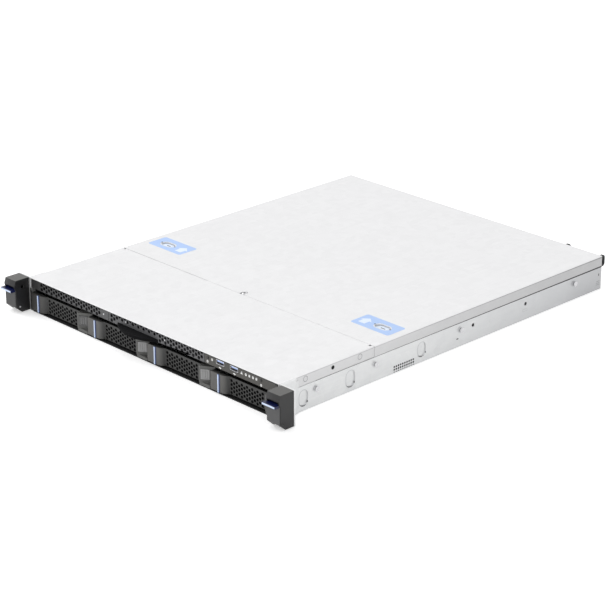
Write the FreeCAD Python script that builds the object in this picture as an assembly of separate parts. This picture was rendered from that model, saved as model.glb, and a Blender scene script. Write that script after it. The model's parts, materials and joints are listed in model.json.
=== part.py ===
"""1U rack server with four drive bays, built as separate pieces in millimetres.

While modelling, X runs to the right as seen from the front, Y from the ear plane to the back and
Z up from the underside. Every piece is moved along Y when it is written, so that the origin lies
under the middle of the whole object.
"""
import FreeCAD
import Part
import math
import os

V = FreeCAD.Vector
X_AXIS = V(1, 0, 0)
Y_AXIS = V(0, 1, 0)
Z_AXIS = V(0, 0, 1)

# ---- body ----------------------------------------------------------------------------------
body_width = 438.0
body_height = 43.5          # 1U less the usual play
body_depth = 552.0
sheet = 1.0                 # steel of tray and covers
seat_gap = 0.3              # between pieces that move past each other
slip_gap = 0.2              # between a cover and the wall it wraps
pin_play = 0.05             # radial, on hinge pins and shafts
half = body_width / 2.0
wall_in = half - sheet
upper_wall_out = half - sheet - slip_gap
upper_wall_in = upper_wall_out - sheet
cover_under_z = body_height - sheet
wall_top_z = cover_under_z - seat_gap
rear_wall_y = body_depth - sheet

# ---- covers --------------------------------------------------------------------------------
seam_y = 146.0              # where the front cover meets the rear cover
seam_gap = 0.4
cover_front_y = -0.8
cover_flange = 13.0         # height of the turned-down side flange
cover_edge_radius = 0.9
seam_notch = 3.0            # small pry notch at each end of the seam
screw_r = 1.5               # cover screws
seam_screw_y = seam_y + 5.0
seam_screw_head_r = 3.2
seam_screw_head = 1.2
screw_socket_r = 1.4
screw_socket = 0.7
notch_clear = 0.8
thumb_inset = 32.5          # finger dishes of the rear cover, from the body's side
thumb_back = 47.0           # and from the seam
thumb_length = 22.0
thumb_width = 12.0
thumb_depth = 2.2
dish_wall = 0.8
flange_low_z = body_height - cover_flange
shelf_z = flange_low_z - slip_gap
thumb_x = half - thumb_inset
thumb_y = seam_y + thumb_back

# ---- tray ----------------------------------------------------------------------------------
form_depth = 0.8            # of the pressed forms in the sides
side_forms = ((35.4, 15.6, 13.0, 19.0), (108.0, 16.0, 14.0, 20.0), (224.0, 16.4, 13.0, 18.0))
stud_places = ((55.0, 21.0), (148.0, 21.2), (291.0, 21.0), (499.0, 21.2))
stud_neck_r = 2.0
stud_foot_r = 2.8
stud_foot = 0.6
stud_head_r = 3.2
stud_head = 1.0
stud_reach = 2.6
side_holes = ((312.4, 20.8), (407.0, 20.8))
side_hole_r = 2.2
vent_y = 179.0
vent_pitch = 3.5
vent_columns = 10
vent_rows = (4.8, 8.2)
vent_r = 1.45
side_screw_y = 80.6
side_screw_drop = 5.5       # below the top
side_screw_head_r = 2.4
bridge_front = 8.0          # from the seam
bridge_back = 12.0
bridge_height = 6.0
rear_vent_pitch = 8.0
rear_vent_width = 3.8
rear_vent_height = 22.0
rear_vent_drop = 3.2        # below the wall's top
side_screw_z = body_height - side_screw_drop

# ---- ears ----------------------------------------------------------------------------------
ear_reach = 22.3            # of each ear beyond the body
ear_sheet = 2.0
ear_margin = 0.45           # above and below the ear
rack_hole_inset = 8.75      # screw column to the ear's edge
slot_rise = 31.75           # between the two slots of one ear
slot_tall = 6.8
slot_long = 10.3
slot_play = 0.6             # round the screw slots, in the handle
bracket_skin = 2.2          # side plate of the ear bracket outside the body
bracket_length = 21.5
bracket_taper = 6.2
bracket_tail = 0.6
bracket_notch = 4.0
handle_margin = 0.3         # of the handle inside the ear's outline
handle_inset = 2.0          # from the body side to the handle's inner face
handle_crest_y = -20.3      # front of the head at its top
handle_kink_y = -22.7       # and where it stands out most
kink_drop = 7.0             # from the top to there
waist_y = -20.9             # front edge of the cheeks below the head
waist_drop = 14.0
handle_front_y = -21.3      # front edge of the cheeks at the chin
chin_z = 8.6
chin_y = -12.5
recess_drop = 8.4
handle_round = 0.6
cheek = 1.8
handle_back_wall = 3.0
head_wall = 2.4
recess_y = -16.0
spring_y = -10.5            # round hole in the cheeks
spring_drop = 1.6           # below the recess top
spring_r = 2.0
pivot_y = -15.0
pivot_z = 8.2
pivot_r = 1.5
hub_r = 6.6
keep_wall = 2.2
latch_panel = 2.6
latch_skin = 1.2            # front skin that laps over both cheeks
latch_edge = 0.9
latch_shelf = 1.5           # step of the shelf in front of the recess wall
blade_drop = 2.3            # from the recess top to the blade
blade_thick = 2.8
blade_seat = 2.5            # from the shelf's brace to the blade's underside
blade_reach = 28.5
blade_wing_y = -22.2        # in front of it the blade is as wide as the handle
blade_corner = 0.6
blade_side = 0.5            # of the blade beyond the handle's inner face
blade_tip = 1.0
ear_x = half + ear_reach
rack_width = 2 * ear_x
rack_hole_pitch = rack_width - 2 * rack_hole_inset
screw_x = rack_hole_pitch / 2.0
slot_low_z = (body_height - slot_rise) / 2.0
slot_high_z = slot_low_z + slot_rise
ear_low_z = ear_margin
ear_high_z = body_height - ear_margin
handle_x0 = half + handle_inset
handle_x1 = ear_x - handle_margin
handle_low_z = ear_low_z + handle_margin
handle_top_z = ear_high_z - handle_margin / 3
handle_inner0 = handle_x0 + cheek
handle_inner1 = handle_x1 - cheek
latch_front_y = pivot_y - hub_r
recess_top_z = handle_top_z - recess_drop
blade_top_z = recess_top_z - blade_drop
blade_low_z = blade_top_z - blade_thick
latch_top_z = blade_low_z - blade_seat

# ---- front strip ---------------------------------------------------------------------------
strip_height = 11.2
strip_thick = 1.2
strip_front_y = -0.8
strip_side = 1.2            # from the tray's wall
strip_foot = 14.0
strip_gap = 0.6
strip_hole_r = 2.3
strip_hole_pitch = 5.5
strip_hole_drop = 3.0
strip_hole_sides = 8
left_strip = 147.0
left_blank = 20.0           # plain ends of the left strip
left_blank_right = 12.9
middle_blank = 5.0
panel_width = 116.6
tag_x = -16.5
tag_width = 71.0
tag_thick = 3.7
tag_drop = 0.7              # of the tag's lip below the strip
tag_reach = 13.5
tag_side_y = -1.5
tag_shoulder = 5.5
tag_waist = 5.0
tag_round = 1.0
tag_tongue = 1.6
tag_length = 72.0
panel_row_drop = 3.5        # middle of sockets, buttons and lights below the wall's top
usb_offsets = (25.6, 48.4)  # from the panel's left end
usb_width = 13.1
usb_height = 5.6
usb_wall = 0.5
usb_depth = 13.5
usb_front_y = -1.0
usb_tongue_side = 0.9
usb_tongue_low = 0.2
usb_tongue_thick = 1.8
usb_tongue_back = 0.8
id_button_offset = 5.3
power_button_offset = 91.6
front_button_r = 1.45
front_button_travel = 0.8
button_cap = 0.6
button_stem = 5.0
button_edge = 0.3
switch_play = 0.3
switch_size = 4.0
light_offsets = (60.8, 67.6, 73.2, 79.0, 84.5)
light_size = 1.2
light_length = 3.0
light_proud = 0.1
io_board_thick = 1.6
io_board_front = 1.5
io_board_depth = 40.0
io_board_side = 2.0
strip_low_z = wall_top_z - strip_height
cage_top_z = strip_low_z
strip_left_x = strip_side - upper_wall_in
strip_split_x = strip_left_x + left_strip
panel_left_x = -strip_left_x - panel_width
strip_hole_z = wall_top_z - strip_hole_drop
strip_hole_step = strip_hole_pitch * math.sin(math.radians(60))
tag_low_z = cage_top_z - tag_drop
tag_high_z = tag_low_z + tag_thick
front_button_z = wall_top_z - panel_row_drop
usb_z = front_button_z
usb_x = [panel_left_x + d for d in usb_offsets]
light_x = [panel_left_x + d for d in light_offsets]
id_button_x = panel_left_x + id_button_offset
power_button_x = panel_left_x + power_button_offset

# ---- drive bays ----------------------------------------------------------------------------
bay_count = 4
cage_sheet = 1.0
cage_front_y = 6.0
bay_divider = 1.0
intake = 6.6                # open slot between the levers and the strip
lever_gap = 0.5             # from the bay's line to the lever
lever_low_z = 1.6
block_low_z = 2.9
block_rise = 0.2            # of the grip block above the mesh
block_front_y = -1.6
block_back_y = 5.2
block_flat = 18.0           # front face of the grip block, along X
block_run = 27.0
mesh_y = 3.5
mesh_thick = 1.0
rib_depth = 2.4
rib_thick = 1.5
lever_right = 20.0          # lever's end from the next bay's line
pivot_right = 21.9          # lever's pivot from there
lever_pivot_y = 7.6
lever_barrel_r = 2.2
lever_pin_r = 1.0
lever_hole_r = 2.05
lever_hole_pitch = 4.83
lever_hole_from = 29.9
lever_hole_margin = 6.0
lug_r = 2.4
lug_low_z = 1.8
lug_height = 3.0
relief_r = 4.9              # clears the lever's corner as it swings
grip_x = 14.2               # coloured grip, from the bay's line
grip_width = 2.4
grip_front_y = -2.9
grip_root = 3.5
grip_round = 0.7
grip_margin = 2.1           # of its root inside the block
end_block_right = 18.9      # end block's left side from the next bay's line
end_block_step = 2.0
end_slope = 0.647           # the end block's face runs back as it runs right
end_rise = 0.4              # of the end block above the grip block
end_lip_high_z = 5.2
end_lip_y = -1.0
button_from = 0.7           # along the receding face
button_width = 10.9
button_low_z = 8.8
button_drop = 3.9
button_proud = 0.5
button_depth = 3.0
button_travel = 1.5
dish_r = 14.0
dish_deep = 0.7
dish_margin = 1.2
carrier_low_z = 1.6
crosspiece_y = 10.2
crosspiece_thick = 3.0
air_slots = 6
air_slot_pitch = 14.0
air_slot_width = 10.0
air_slot_height = 18.0
tray_rail_inset = 1.2
tray_drop = 2.7             # of the tray's front below the cage top
rail_drop = 8.3             # of its rails below that
brace_run = 16.0
drive_side = 3.3            # from the bay's line to the drive
drive_length = 147.0
drive_low_z = 2.0
drive_top_gap = 1.9
drive_gap = 0.4
lid_step = 1.2
lid_margin = 2.0
lid_corner = 10.0
lid_back = 12.0
plug_from = 18.0            # connector's place from the drive's left side
connector_width = 42.0
connector_height = 7.0
connector_depth = 5.0
connector_play = 1.0
backplane_gap = 5.4
backplane_thick = 1.6
backplane_vent = 84.0
backplane_vent_height = 12.0
backplane_vent_rise = 4.0
cage_half = upper_wall_in - slip_gap
bay_pitch = 2 * (cage_half - slip_gap) / bay_count
bay_lines = [bay_pitch * (i - bay_count / 2.0) for i in range(bay_count + 1)]
lever_high_z = cage_top_z - intake
block_high_z = lever_high_z + block_rise
end_high_z = block_high_z + end_rise
button_high_z = end_high_z - button_drop
lever_length = bay_pitch - lever_right
lever_pivot_x = bay_pitch - pivot_right
lever_mid_z = (lever_low_z + lever_high_z) / 2.0
lever_hole_step = lever_hole_pitch * math.sin(math.radians(60))
lever_hole_room = lever_length - lever_hole_margin - lever_hole_from
end_block_x = bay_pitch - end_block_right
end_block_tail = bay_pitch - tray_rail_inset
tray_high_z = cage_top_z - tray_drop
tray_rail_high_z = tray_high_z - rail_drop
drive_width = bay_pitch - 2 * drive_side
drive_height = cage_top_z - cage_sheet - drive_top_gap - drive_low_z
drive_front_y = crosspiece_y + crosspiece_thick + drive_gap
backplane_y = drive_front_y + drive_length + backplane_gap

# ---- fans ----------------------------------------------------------------------------------
fan_count = 4
fan_top_gap = 1.5
fan_depth = 28.0
fan_back_gap = 24.4         # from the backplane
fan_pitch = 78.0
fan_rim = 1.0
fan_blades = 7
fan_chord = 14.0
fan_pitch_angle = 48.0
blade_thickness = 1.2
fan_hub_r = 9.0
fan_tip_gap = 0.9
fan_shaft_r = 1.5
strut_width = 2.0
strut_depth = 2.5
hub_front = 2.0
hub_back = 4.0              # from the hub to the frame's back
shaft_front = 4.0
fan_size = cover_under_z - sheet - fan_top_gap
fan_y = backplane_y + backplane_thick + fan_back_gap
fan_z = sheet + fan_size / 2.0
fan_places = [fan_pitch * (i - (fan_count - 1) / 2.0) for i in range(fan_count)]

# ---- power supplies ------------------------------------------------------------------------
supply_side_gap = 3.2       # from the tray's wall
supply_split = 0.6          # between the two
supply_width = 53.9
supply_length = 220.0
supply_low_z = sheet + 0.4
supply_top_gap = 1.4
supply_proud = 0.4
supply_edge = 0.8
handle_loop_inset = 9.8     # from the supply's right side
handle_loop_drop = 4.3
handle_loop_height = 15.0
handle_loop_reach = 21.5
handle_loop_bar = 3.4
handle_loop_bend = 4.0
inlet_x = 3.0               # from the supply's left side
inlet_low = 2.6
inlet_width = 16.6
inlet_height = 24.4
inlet_depth = 16.0
inlet_pin_back = 7.0        # of the contact blades, behind the rear face
contact_places = ((-1.5, -7.0), (-1.5, 7.0), (1.5, 0.0))
contact_width = 4.0
contact_thick = 2.0
supply_fan_x = 32.0
supply_fan_r = 11.6
supply_fan_ring_r = 8.6
supply_fan_boss_r = 4.4
supply_wire = 1.2
supply_mouth = 2.4          # depth of the fan mouth
latch_x = 1.6
latch_width = 8.0
latch_height = 5.0
latch_drop = 6.6
latch_deep = 12.0
latch_proud = 7.6
latch_round = 1.2
latch_travel = 2.5
supply_pitch = supply_width + supply_split
supply_right_x = wall_in - supply_side_gap
supply_left_x = supply_right_x - supply_pitch - supply_width
supply_back_y = body_depth + supply_proud
supply_front_y = supply_back_y - supply_length
supply_top_z = wall_top_z - supply_top_gap
supply_height = supply_top_z - supply_low_z
supply_z = supply_low_z + supply_height / 2.0
handle_loop_high_z = supply_top_z - handle_loop_drop
handle_loop_low_z = handle_loop_high_z - handle_loop_height
latch_low_z = supply_top_z - latch_drop

# ---- electronics ---------------------------------------------------------------------------
board_side_gap = 5.0
board_supply_gap = 9.4
board_back_gap = 2.0
board_from_fans = 16.0
board_thick = 1.6
board_post_inset = 8.0
standoff_height = 5.0
standoff_r = 2.6
heatsink_size = 84.0
heatsink_back = 20.0        # from the board's front edge
heatsink_fins = 19
heatsink_fin = 0.8
heatsink_base = 4.5
heatsink_top_gap = 5.0      # under the cover
socket_size = 72.0
socket_height = 3.0
module_count = 5
module_length = 133.35
module_height = 30.0
module_thick = 1.3
module_pitch = 9.4
module_socket = 5.2
module_socket_end = 4.0
module_socket_height = 6.0
module_back = 26.0          # from the board's front edge
port_sizes = ((15.9, 13.6), (15.9, 13.6), (14.6, 15.6), (30.8, 12.6))
port_from = 13.0            # from the board's left edge
port_between = 5.0
port_play = 0.3
port_depth = 18.0
port_proud = 0.4
port_wall = 1.0
port_mouth = 11.0
board_left_x = board_side_gap - wall_in
board_right_x = supply_left_x - board_supply_gap
board_front_y = fan_y + fan_depth + board_from_fans
board_back_y = rear_wall_y - board_back_gap
board_z = sheet + standoff_height
board_top_z = board_z + board_thick
module_group = module_pitch * (module_count - 1) + module_socket
board_free = board_right_x - board_left_x - 2 * heatsink_size - 2 * module_group
board_space = board_free / 5.0
heatsink_x = [board_left_x + board_space + heatsink_size / 2.0,
              board_left_x + 3 * board_space + module_group + 1.5 * heatsink_size]
module_x = [x + heatsink_size / 2.0 + board_space + module_group / 2.0 for x in heatsink_x]
heatsink_y = board_front_y + heatsink_back
heatsink_high_z = cover_under_z - heatsink_top_gap
module_y = board_front_y + module_back
rear_vent_z = wall_top_z - rear_vent_drop - rear_vent_height / 2.0

# ---- whole ---------------------------------------------------------------------------------
front_reach = -blade_reach
rear_reach = supply_back_y + handle_loop_reach
mid_y = (front_reach + rear_reach) / 2.0


# ---- shape helpers -------------------------------------------------------------------------
def box(x0, x1, y0, y1, z0, z1):
    return Part.makeBox(x1 - x0, y1 - y0, z1 - z0, V(x0, y0, z0))


def rod(x, y, z, radius, length, axis):
    return Part.makeCylinder(radius, length, V(x, y, z), axis)


def face_of(points):
    return Part.Face(Part.makePolygon(points + [points[0]]))


def plan_prism(outline, z0, z1):
    """Outline of (x, y) pairs, raised from z0 to z1."""
    return face_of([V(x, y, z0) for x, y in outline]).extrude(V(0, 0, z1 - z0))


def side_prism(outline, x0, x1):
    """Outline of (y, z) pairs, run from x0 to x1."""
    return face_of([V(x0, y, z) for y, z in outline]).extrude(V(x1 - x0, 0, 0))


def front_prism(outline, y0, y1):
    """Outline of (x, z) pairs, run from y0 to y1."""
    return face_of([V(x, y0, z) for x, z in outline]).extrude(V(0, y1 - y0, 0))


def corners(u, v, radius, sides, turn=0.0):
    """Corners of a regular polygon."""
    angles = [turn + 2.0 * math.pi * i / sides for i in range(sides)]
    return [(u + radius * math.cos(a), v + radius * math.sin(a)) for a in angles]


def obround(width, height, depth):
    """Round-ended bar from the origin along Z, width along X and height along Y."""
    r = min(width, height) / 2.0
    dx = width / 2.0 - r
    dy = height / 2.0 - r
    ends = [rod(s * dx, s * dy, 0, r, depth, Z_AXIS) for s in (-1, 1)]
    reach_x = dx if dx > dy else r
    reach_y = dy if dy > dx else r
    return fuse([box(-reach_x, reach_x, -reach_y, reach_y, 0, depth)] + ends)


def obround_z(x, y, width, height, z0, z1):
    bar = obround(width, height, z1 - z0)
    bar.translate(V(x, y, z0))
    return bar


def obround_y(x, z, width, height, y0, y1):
    bar = obround(width, height, y1 - y0)
    bar.rotate(V(0, 0, 0), X_AXIS, 90)
    bar.translate(V(x, y1, z))
    return bar


def obround_x(y, z, width, height, x0, x1):
    bar = obround(height, width, x1 - x0)
    bar.rotate(V(0, 0, 0), Y_AXIS, 90)
    bar.translate(V(x0, y, z))
    return bar


def fuse(shapes):
    return shapes[0].fuse(shapes[1:]).removeSplitter()


def cut(shape, tools):
    return shape.cut(Part.makeCompound(tools)).removeSplitter()


def group(shapes):
    return Part.makeCompound(shapes)


def mirrored(shape):
    return shape.mirror(V(0, 0, 0), X_AXIS)


def both_sides(shapes):
    return shapes + [mirrored(s) for s in shapes]


def row(first, pitch, count):
    return [first + pitch * i for i in range(count)]


def long_edges(shape, axis, test):
    """Straight edges along an axis whose middle passes the test."""
    found = []
    for edge in shape.Edges:
        span = edge.Vertexes[-1].Point.sub(edge.Vertexes[0].Point)
        if span.Length > 0 and abs(span.dot(axis)) > 0.999 * span.Length:
            if test(edge.CenterOfMass):
                found.append(edge)
    return found


# ---- chassis -------------------------------------------------------------------------------
def side_wall():
    """Right side of the tray: the upper part is set in, so that the covers wrap it flush."""
    lower = box(wall_in, half, 0, body_depth, 0, shelf_z)
    shelf = box(upper_wall_in, half, 0, body_depth, shelf_z - sheet, shelf_z)
    upper = box(upper_wall_in, upper_wall_out, 0, body_depth, shelf_z - sheet, wall_top_z)
    bumps = []
    tools = []
    for y, z, width, height in side_forms:
        bumps.append(obround_x(y, z, width + sheet, height + sheet, wall_in - form_depth, wall_in))
        tools.append(obround_x(y, z, width, height, half - form_depth, half + sheet))
    for y, z in stud_places:
        tools.append(rod(wall_in - sheet, y, z, stud_neck_r, 3 * sheet, X_AXIS))
    for y, z in side_holes:
        tools.append(rod(wall_in - sheet, y, z, side_hole_r, 3 * sheet, X_AXIS))
    tools.append(rod(upper_wall_in - sheet, side_screw_y, side_screw_z, screw_r, 3 * sheet, X_AXIS))
    for z in vent_rows:
        for y in row(vent_y, vent_pitch, vent_columns):
            tools.append(side_prism(corners(y, z, vent_r, 6), wall_in - sheet, half + sheet))
    return cut(fuse([lower, shelf, upper] + bumps), tools)


def bridge():
    """Channel across the tray under the seam of the two covers."""
    y0 = seam_y - bridge_front
    y1 = seam_y + bridge_back
    low = wall_top_z - bridge_height
    top = box(-upper_wall_in, upper_wall_in, y0, y1, wall_top_z - sheet, wall_top_z)
    legs = [box(-upper_wall_in, upper_wall_in, y, y + sheet, low, wall_top_z) for y in (y0, y1 - sheet)]
    hole = rod(0, seam_screw_y, low, screw_r, bridge_height + 1, Z_AXIS)
    return cut(fuse([top] + legs), [hole])


def chassis_base():
    floor = box(-half, half, 0, body_depth, 0, sheet)
    guide_x = supply_left_x - seat_gap
    guide = box(guide_x - sheet, guide_x, supply_front_y, body_depth, sheet, wall_top_z)
    tray = fuse([floor, guide, bridge()] + both_sides([side_wall()]))
    low = long_edges(tray, Y_AXIS, lambda c: c.z < 0.01 and abs(c.x) > half - 0.01)
    return tray.makeFillet(cover_edge_radius, low)


def rear_wall():
    """Back plate beside the supplies, with the socket windows and upright air slots."""
    y0 = rear_wall_y - 1
    y1 = body_depth + 1
    right = supply_left_x - seat_gap - sheet
    wall = box(-upper_wall_in, right, rear_wall_y, body_depth, sheet, wall_top_z)
    corner = box(-wall_in, -upper_wall_in, rear_wall_y, body_depth, sheet, shelf_z - sheet)
    low = board_top_z - port_play
    tools = [box(x - port_play, x + width + port_play, y0, y1, low, low + height + 2 * port_play)
             for x, width, height in ports()]
    start = ports()[-1][0] + ports()[-1][1] + rear_vent_pitch
    count = int((right - start - rear_vent_pitch / 2) / rear_vent_pitch)
    tools += [obround_y(x, rear_vent_z, rear_vent_width, rear_vent_height, y0, y1)
              for x in row(start, rear_vent_pitch, count)]
    return cut(fuse([wall, corner]), tools)


def rail_studs():
    """Mushroom studs that the rack rails hook over."""
    studs = []
    for y, z in stud_places:
        neck = rod(wall_in, y, z, stud_neck_r, sheet + stud_reach, X_AXIS)
        foot = rod(half, y, z, stud_foot_r, stud_foot, X_AXIS)
        head = rod(half + stud_reach - stud_head, y, z, stud_head_r, stud_head, X_AXIS)
        studs.append(fuse([neck, foot, head]))
    return group(both_sides(studs))


def cover_screws():
    """Flat-headed screw at the seam and a countersunk one through each side flange."""
    head = rod(0, seam_screw_y, wall_top_z, seam_screw_head_r, seam_screw_head, Z_AXIS)
    rim = [e for e in head.Edges if e.Closed and e.CenterOfMass.z > wall_top_z + 0.5]
    head = head.makeChamfer(screw_socket / 2, rim)
    shank = rod(0, seam_screw_y, wall_top_z - bridge_height, screw_r, bridge_height, Z_AXIS)
    high = wall_top_z + seam_screw_head
    socket = plan_prism(corners(0, seam_screw_y, screw_socket_r, 6), high - screw_socket, high + 1)
    cone = Part.makeCone(screw_r, side_screw_head_r, sheet, V(wall_in, side_screw_y, side_screw_z), X_AXIS)
    tail = upper_wall_in - 2 * sheet
    side = fuse([cone, rod(tail, side_screw_y, side_screw_z, screw_r, wall_in - tail, X_AXIS)])
    return group([cut(fuse([head, shank]), [socket])] + both_sides([side]))


# ---- covers --------------------------------------------------------------------------------
def cover_shell(front_y, back_y):
    """Top sheet with both side flanges turned down round a bend."""
    outside = box(-half, half, front_y, back_y, flange_low_z, body_height)
    rims = long_edges(outside, Y_AXIS, lambda c: c.z > body_height - 0.01)
    outside = outside.makeFillet(cover_edge_radius, rims)
    inside = box(-wall_in, wall_in, front_y - 1, back_y + 1, flange_low_z - 1, cover_under_z)
    return outside.cut(inside)


def front_cover():
    cover = cover_shell(cover_front_y, seam_y - seam_gap / 2)
    seat = Part.makeCone(screw_r, side_screw_head_r, sheet, V(wall_in, side_screw_y, side_screw_z), X_AXIS)
    notch = box(wall_in - 2 * seam_notch, wall_in - seam_notch, seam_y - seam_notch, seam_y,
                cover_under_z - 1, body_height + 1)
    return cut(cover, both_sides([seat, notch]))


def rear_cover():
    cover = cover_shell(seam_y + seam_gap / 2, body_depth)
    notch_r = seam_screw_head_r + notch_clear
    tools = [rod(0, seam_screw_y, cover_under_z - 1, notch_r, 3, Z_AXIS),
             box(-notch_r, notch_r, seam_y - 1, seam_screw_y, cover_under_z - 1, body_height + 1)]
    bumps = []
    for x in (-thumb_x, thumb_x):
        low_z = body_height - thumb_depth
        bumps.append(obround_z(x, thumb_y, thumb_length + dish_wall, thumb_width + dish_wall,
                               low_z - dish_wall, cover_under_z))
        tools.append(obround_z(x, thumb_y, thumb_length - dish_wall, thumb_width - dish_wall,
                               low_z, body_height + 1))
    return cut(fuse([cover] + bumps), tools)


# ---- ears ----------------------------------------------------------------------------------
def rack_slots(y0, y1, play):
    """Round-ended holes on the rack's hole pattern, in the right ear."""
    return [obround_y(screw_x, z, slot_long + play, slot_tall + play, y0, y1)
            for z in (slot_low_z, slot_high_z)]


def ear_bracket():
    """Angle with the rack flange in front and a skin on the body that tapers off."""
    skin = half + bracket_skin
    end = bracket_length + bracket_taper
    outline = [(half, 0), (ear_x, 0), (ear_x, ear_sheet), (skin, ear_sheet), (skin, bracket_length),
               (half + bracket_tail, end), (half, end)]
    bracket = plan_prism(outline, ear_low_z, ear_high_z)
    notch = box(half - 1, ear_x, end - bracket_notch, end + 1, ear_high_z - bracket_notch, body_height)
    return cut(bracket, rack_slots(-1, ear_sheet + 1, 0) + [notch])


def ear_handle():
    """Moulded pull round the ear: two cheeks, a back wall and a hollow head above the recess."""
    outline = [(0, handle_low_z), (chin_y, handle_low_z), (handle_front_y, chin_z),
               (waist_y, handle_top_z - waist_drop), (handle_kink_y, handle_top_z - kink_drop),
               (handle_crest_y, handle_top_z), (0, handle_top_z)]
    body = side_prism(outline, handle_x0, handle_x1)
    rims = long_edges(body, X_AXIS, lambda c: c.z > handle_top_z - 0.01 and c.y < -1)
    body = body.makeFillet(handle_round, rims)
    hollow = box(handle_inner0, handle_inner1, -blade_reach, -handle_back_wall, handle_low_z - 1,
                 recess_top_z)
    crown = box(handle_inner0, handle_inner1, handle_crest_y + head_wall, -handle_back_wall,
                recess_top_z - 1, handle_top_z - cheek)
    lap = box(handle_x0 - 1, handle_x1 + 1, -blade_reach, latch_front_y + latch_skin + seat_gap, 0,
              blade_low_z)
    pin = rod(handle_x0 - 1, pivot_y, pivot_z, pivot_r, handle_x1 - handle_x0 + 2, X_AXIS)
    spring = rod(handle_x0 - 1, spring_y, recess_top_z - spring_drop, spring_r, cheek + 2, X_AXIS)
    slots = rack_slots(-handle_back_wall - 1, 1, 2 * slot_play)
    return cut(body, [hollow, crown, lap, pin, spring] + slots)


def ear_latch():
    """Front panel that swings down round a cross pin, with a shelf for the coloured grip."""
    x0 = handle_inner0 + seat_gap
    x1 = handle_inner1 - seat_gap
    front = latch_front_y
    back = front + latch_panel
    shelf_y = recess_y - latch_shelf
    hub = rod(x0, pivot_y, pivot_z, hub_r, x1 - x0, X_AXIS)
    panel = side_prism([(front, pivot_z), (pivot_y, pivot_z), (back, pivot_z + hub_r + 2),
                        (back, latch_top_z - 2), (shelf_y, latch_top_z - 1), (shelf_y, blade_low_z),
                        (front, blade_low_z)], x0, x1)
    skin = box(handle_x0, handle_x1, front, front + latch_skin, 0, blade_low_z)
    skin = skin.makeFillet(latch_edge, long_edges(skin, Z_AXIS, lambda c: c.y < front + 0.1))
    slope = (chin_z - handle_low_z) / (chin_y - handle_front_y)
    high = handle_low_z + slope * (chin_y - front + 1)
    chin = side_prism([(0, 0), (chin_y, handle_low_z), (front - 1, high), (front - 1, 0)],
                      handle_x0 - 1, handle_x1 + 1)
    keep_y = pivot_y - pivot_r - keep_wall + seat_gap
    waist = box(x0 + cheek, x1 - cheek, keep_y, 0, 0, pivot_z + hub_r + 1)
    keep = rod(x0, pivot_y, pivot_z, pivot_r + keep_wall, x1 - x0, X_AXIS)
    bore = rod(x0 - 1, pivot_y, pivot_z, pivot_r + pin_play, x1 - x0 + 2, X_AXIS)
    return cut(fuse([cut(fuse([hub, panel, skin]), [waist, chin]), keep]), [bore])


def ear_grip():
    """Coloured blade on the latch's shelf: narrow between the cheeks, full width in front."""
    y1 = recess_y - seat_gap
    root0 = handle_inner0 + seat_gap
    root1 = handle_inner1 - seat_gap
    corner_y = blade_corner - blade_reach
    side = handle_x0 - blade_side
    outline = [(root0, y1), (root0, blade_wing_y), (side, blade_wing_y), (side, corner_y),
               (side + blade_corner, -blade_reach), (handle_x1 - blade_corner, -blade_reach),
               (handle_x1, corner_y), (handle_x1, blade_wing_y), (root1, blade_wing_y), (root1, y1)]
    blade = plan_prism(outline, blade_low_z, blade_top_z)
    tip = long_edges(blade, X_AXIS, lambda c: c.y < 0.5 - blade_reach)
    return blade.makeFillet(blade_tip, tip)


def latch_pins():
    return group(both_sides([rod(handle_x0, pivot_y, pivot_z, pivot_r, handle_x1 - handle_x0, X_AXIS)]))


# ---- front strip ---------------------------------------------------------------------------
def strip_plate(x0, x1):
    """Upright plate with a foot that rests on the drive cage."""
    plate = box(x0, x1, strip_front_y, strip_front_y + strip_thick, strip_low_z, wall_top_z)
    foot = box(x0, x1, strip_front_y, strip_foot, cage_top_z, cage_top_z + sheet)
    return fuse([plate, foot])


def strip_holes(x0, x1, skip=None):
    """Staggered field of round holes; the lower ones are left out over the pull tag."""
    tools = []
    for i, x in enumerate(row(x0, strip_hole_step, int((x1 - x0) / strip_hole_step) + 1)):
        high = strip_hole_z + (i % 2) * strip_hole_pitch / 2
        levels = [high, high - strip_hole_pitch]
        if skip and skip[0] - strip_hole_pitch / 2 < x < skip[1] + strip_hole_pitch / 2:
            levels = [z for z in levels if z > tag_high_z + strip_hole_r + seat_gap]
        for z in levels:
            tools.append(front_prism(corners(x, z, strip_hole_r, strip_hole_sides),
                                     strip_front_y - 1, strip_front_y + strip_thick + 1))
    return tools


def grille_left():
    x1 = strip_split_x - strip_gap / 2
    return cut(strip_plate(strip_left_x, x1),
               strip_holes(strip_left_x + left_blank, x1 - left_blank_right))


def grille_middle():
    x0 = strip_split_x + strip_gap / 2
    x1 = panel_left_x - strip_gap
    tag0 = tag_x - tag_width / 2 - seat_gap
    tag1 = tag_x + tag_width / 2 + seat_gap
    mouth = box(tag0, tag1, strip_front_y - 1, strip_foot + 1, cage_top_z - 1, tag_high_z + seat_gap)
    holes = strip_holes(x0 + middle_blank, x1 - middle_blank / 2, (tag0, tag1))
    return cut(strip_plate(x0, x1), [mouth] + holes)


def io_panel():
    plate = strip_plate(panel_left_x, -strip_left_x)
    y0 = strip_front_y - 1
    y1 = strip_front_y + strip_thick + 1
    tools = [box(x - usb_width / 2, x + usb_width / 2, y0, y1, usb_z - usb_height / 2,
                 usb_z + usb_height / 2) for x in usb_x]
    tools += [rod(x, y0, front_button_z, front_button_r + seat_gap, y1 - y0, Y_AXIS)
              for x in (id_button_x, power_button_x)]
    tools += [box(x - light_size / 2, x + light_size / 2, y0, y1, front_button_z - light_size / 2,
                  front_button_z + light_size / 2) for x in light_x]
    return cut(plate, tools)


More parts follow.
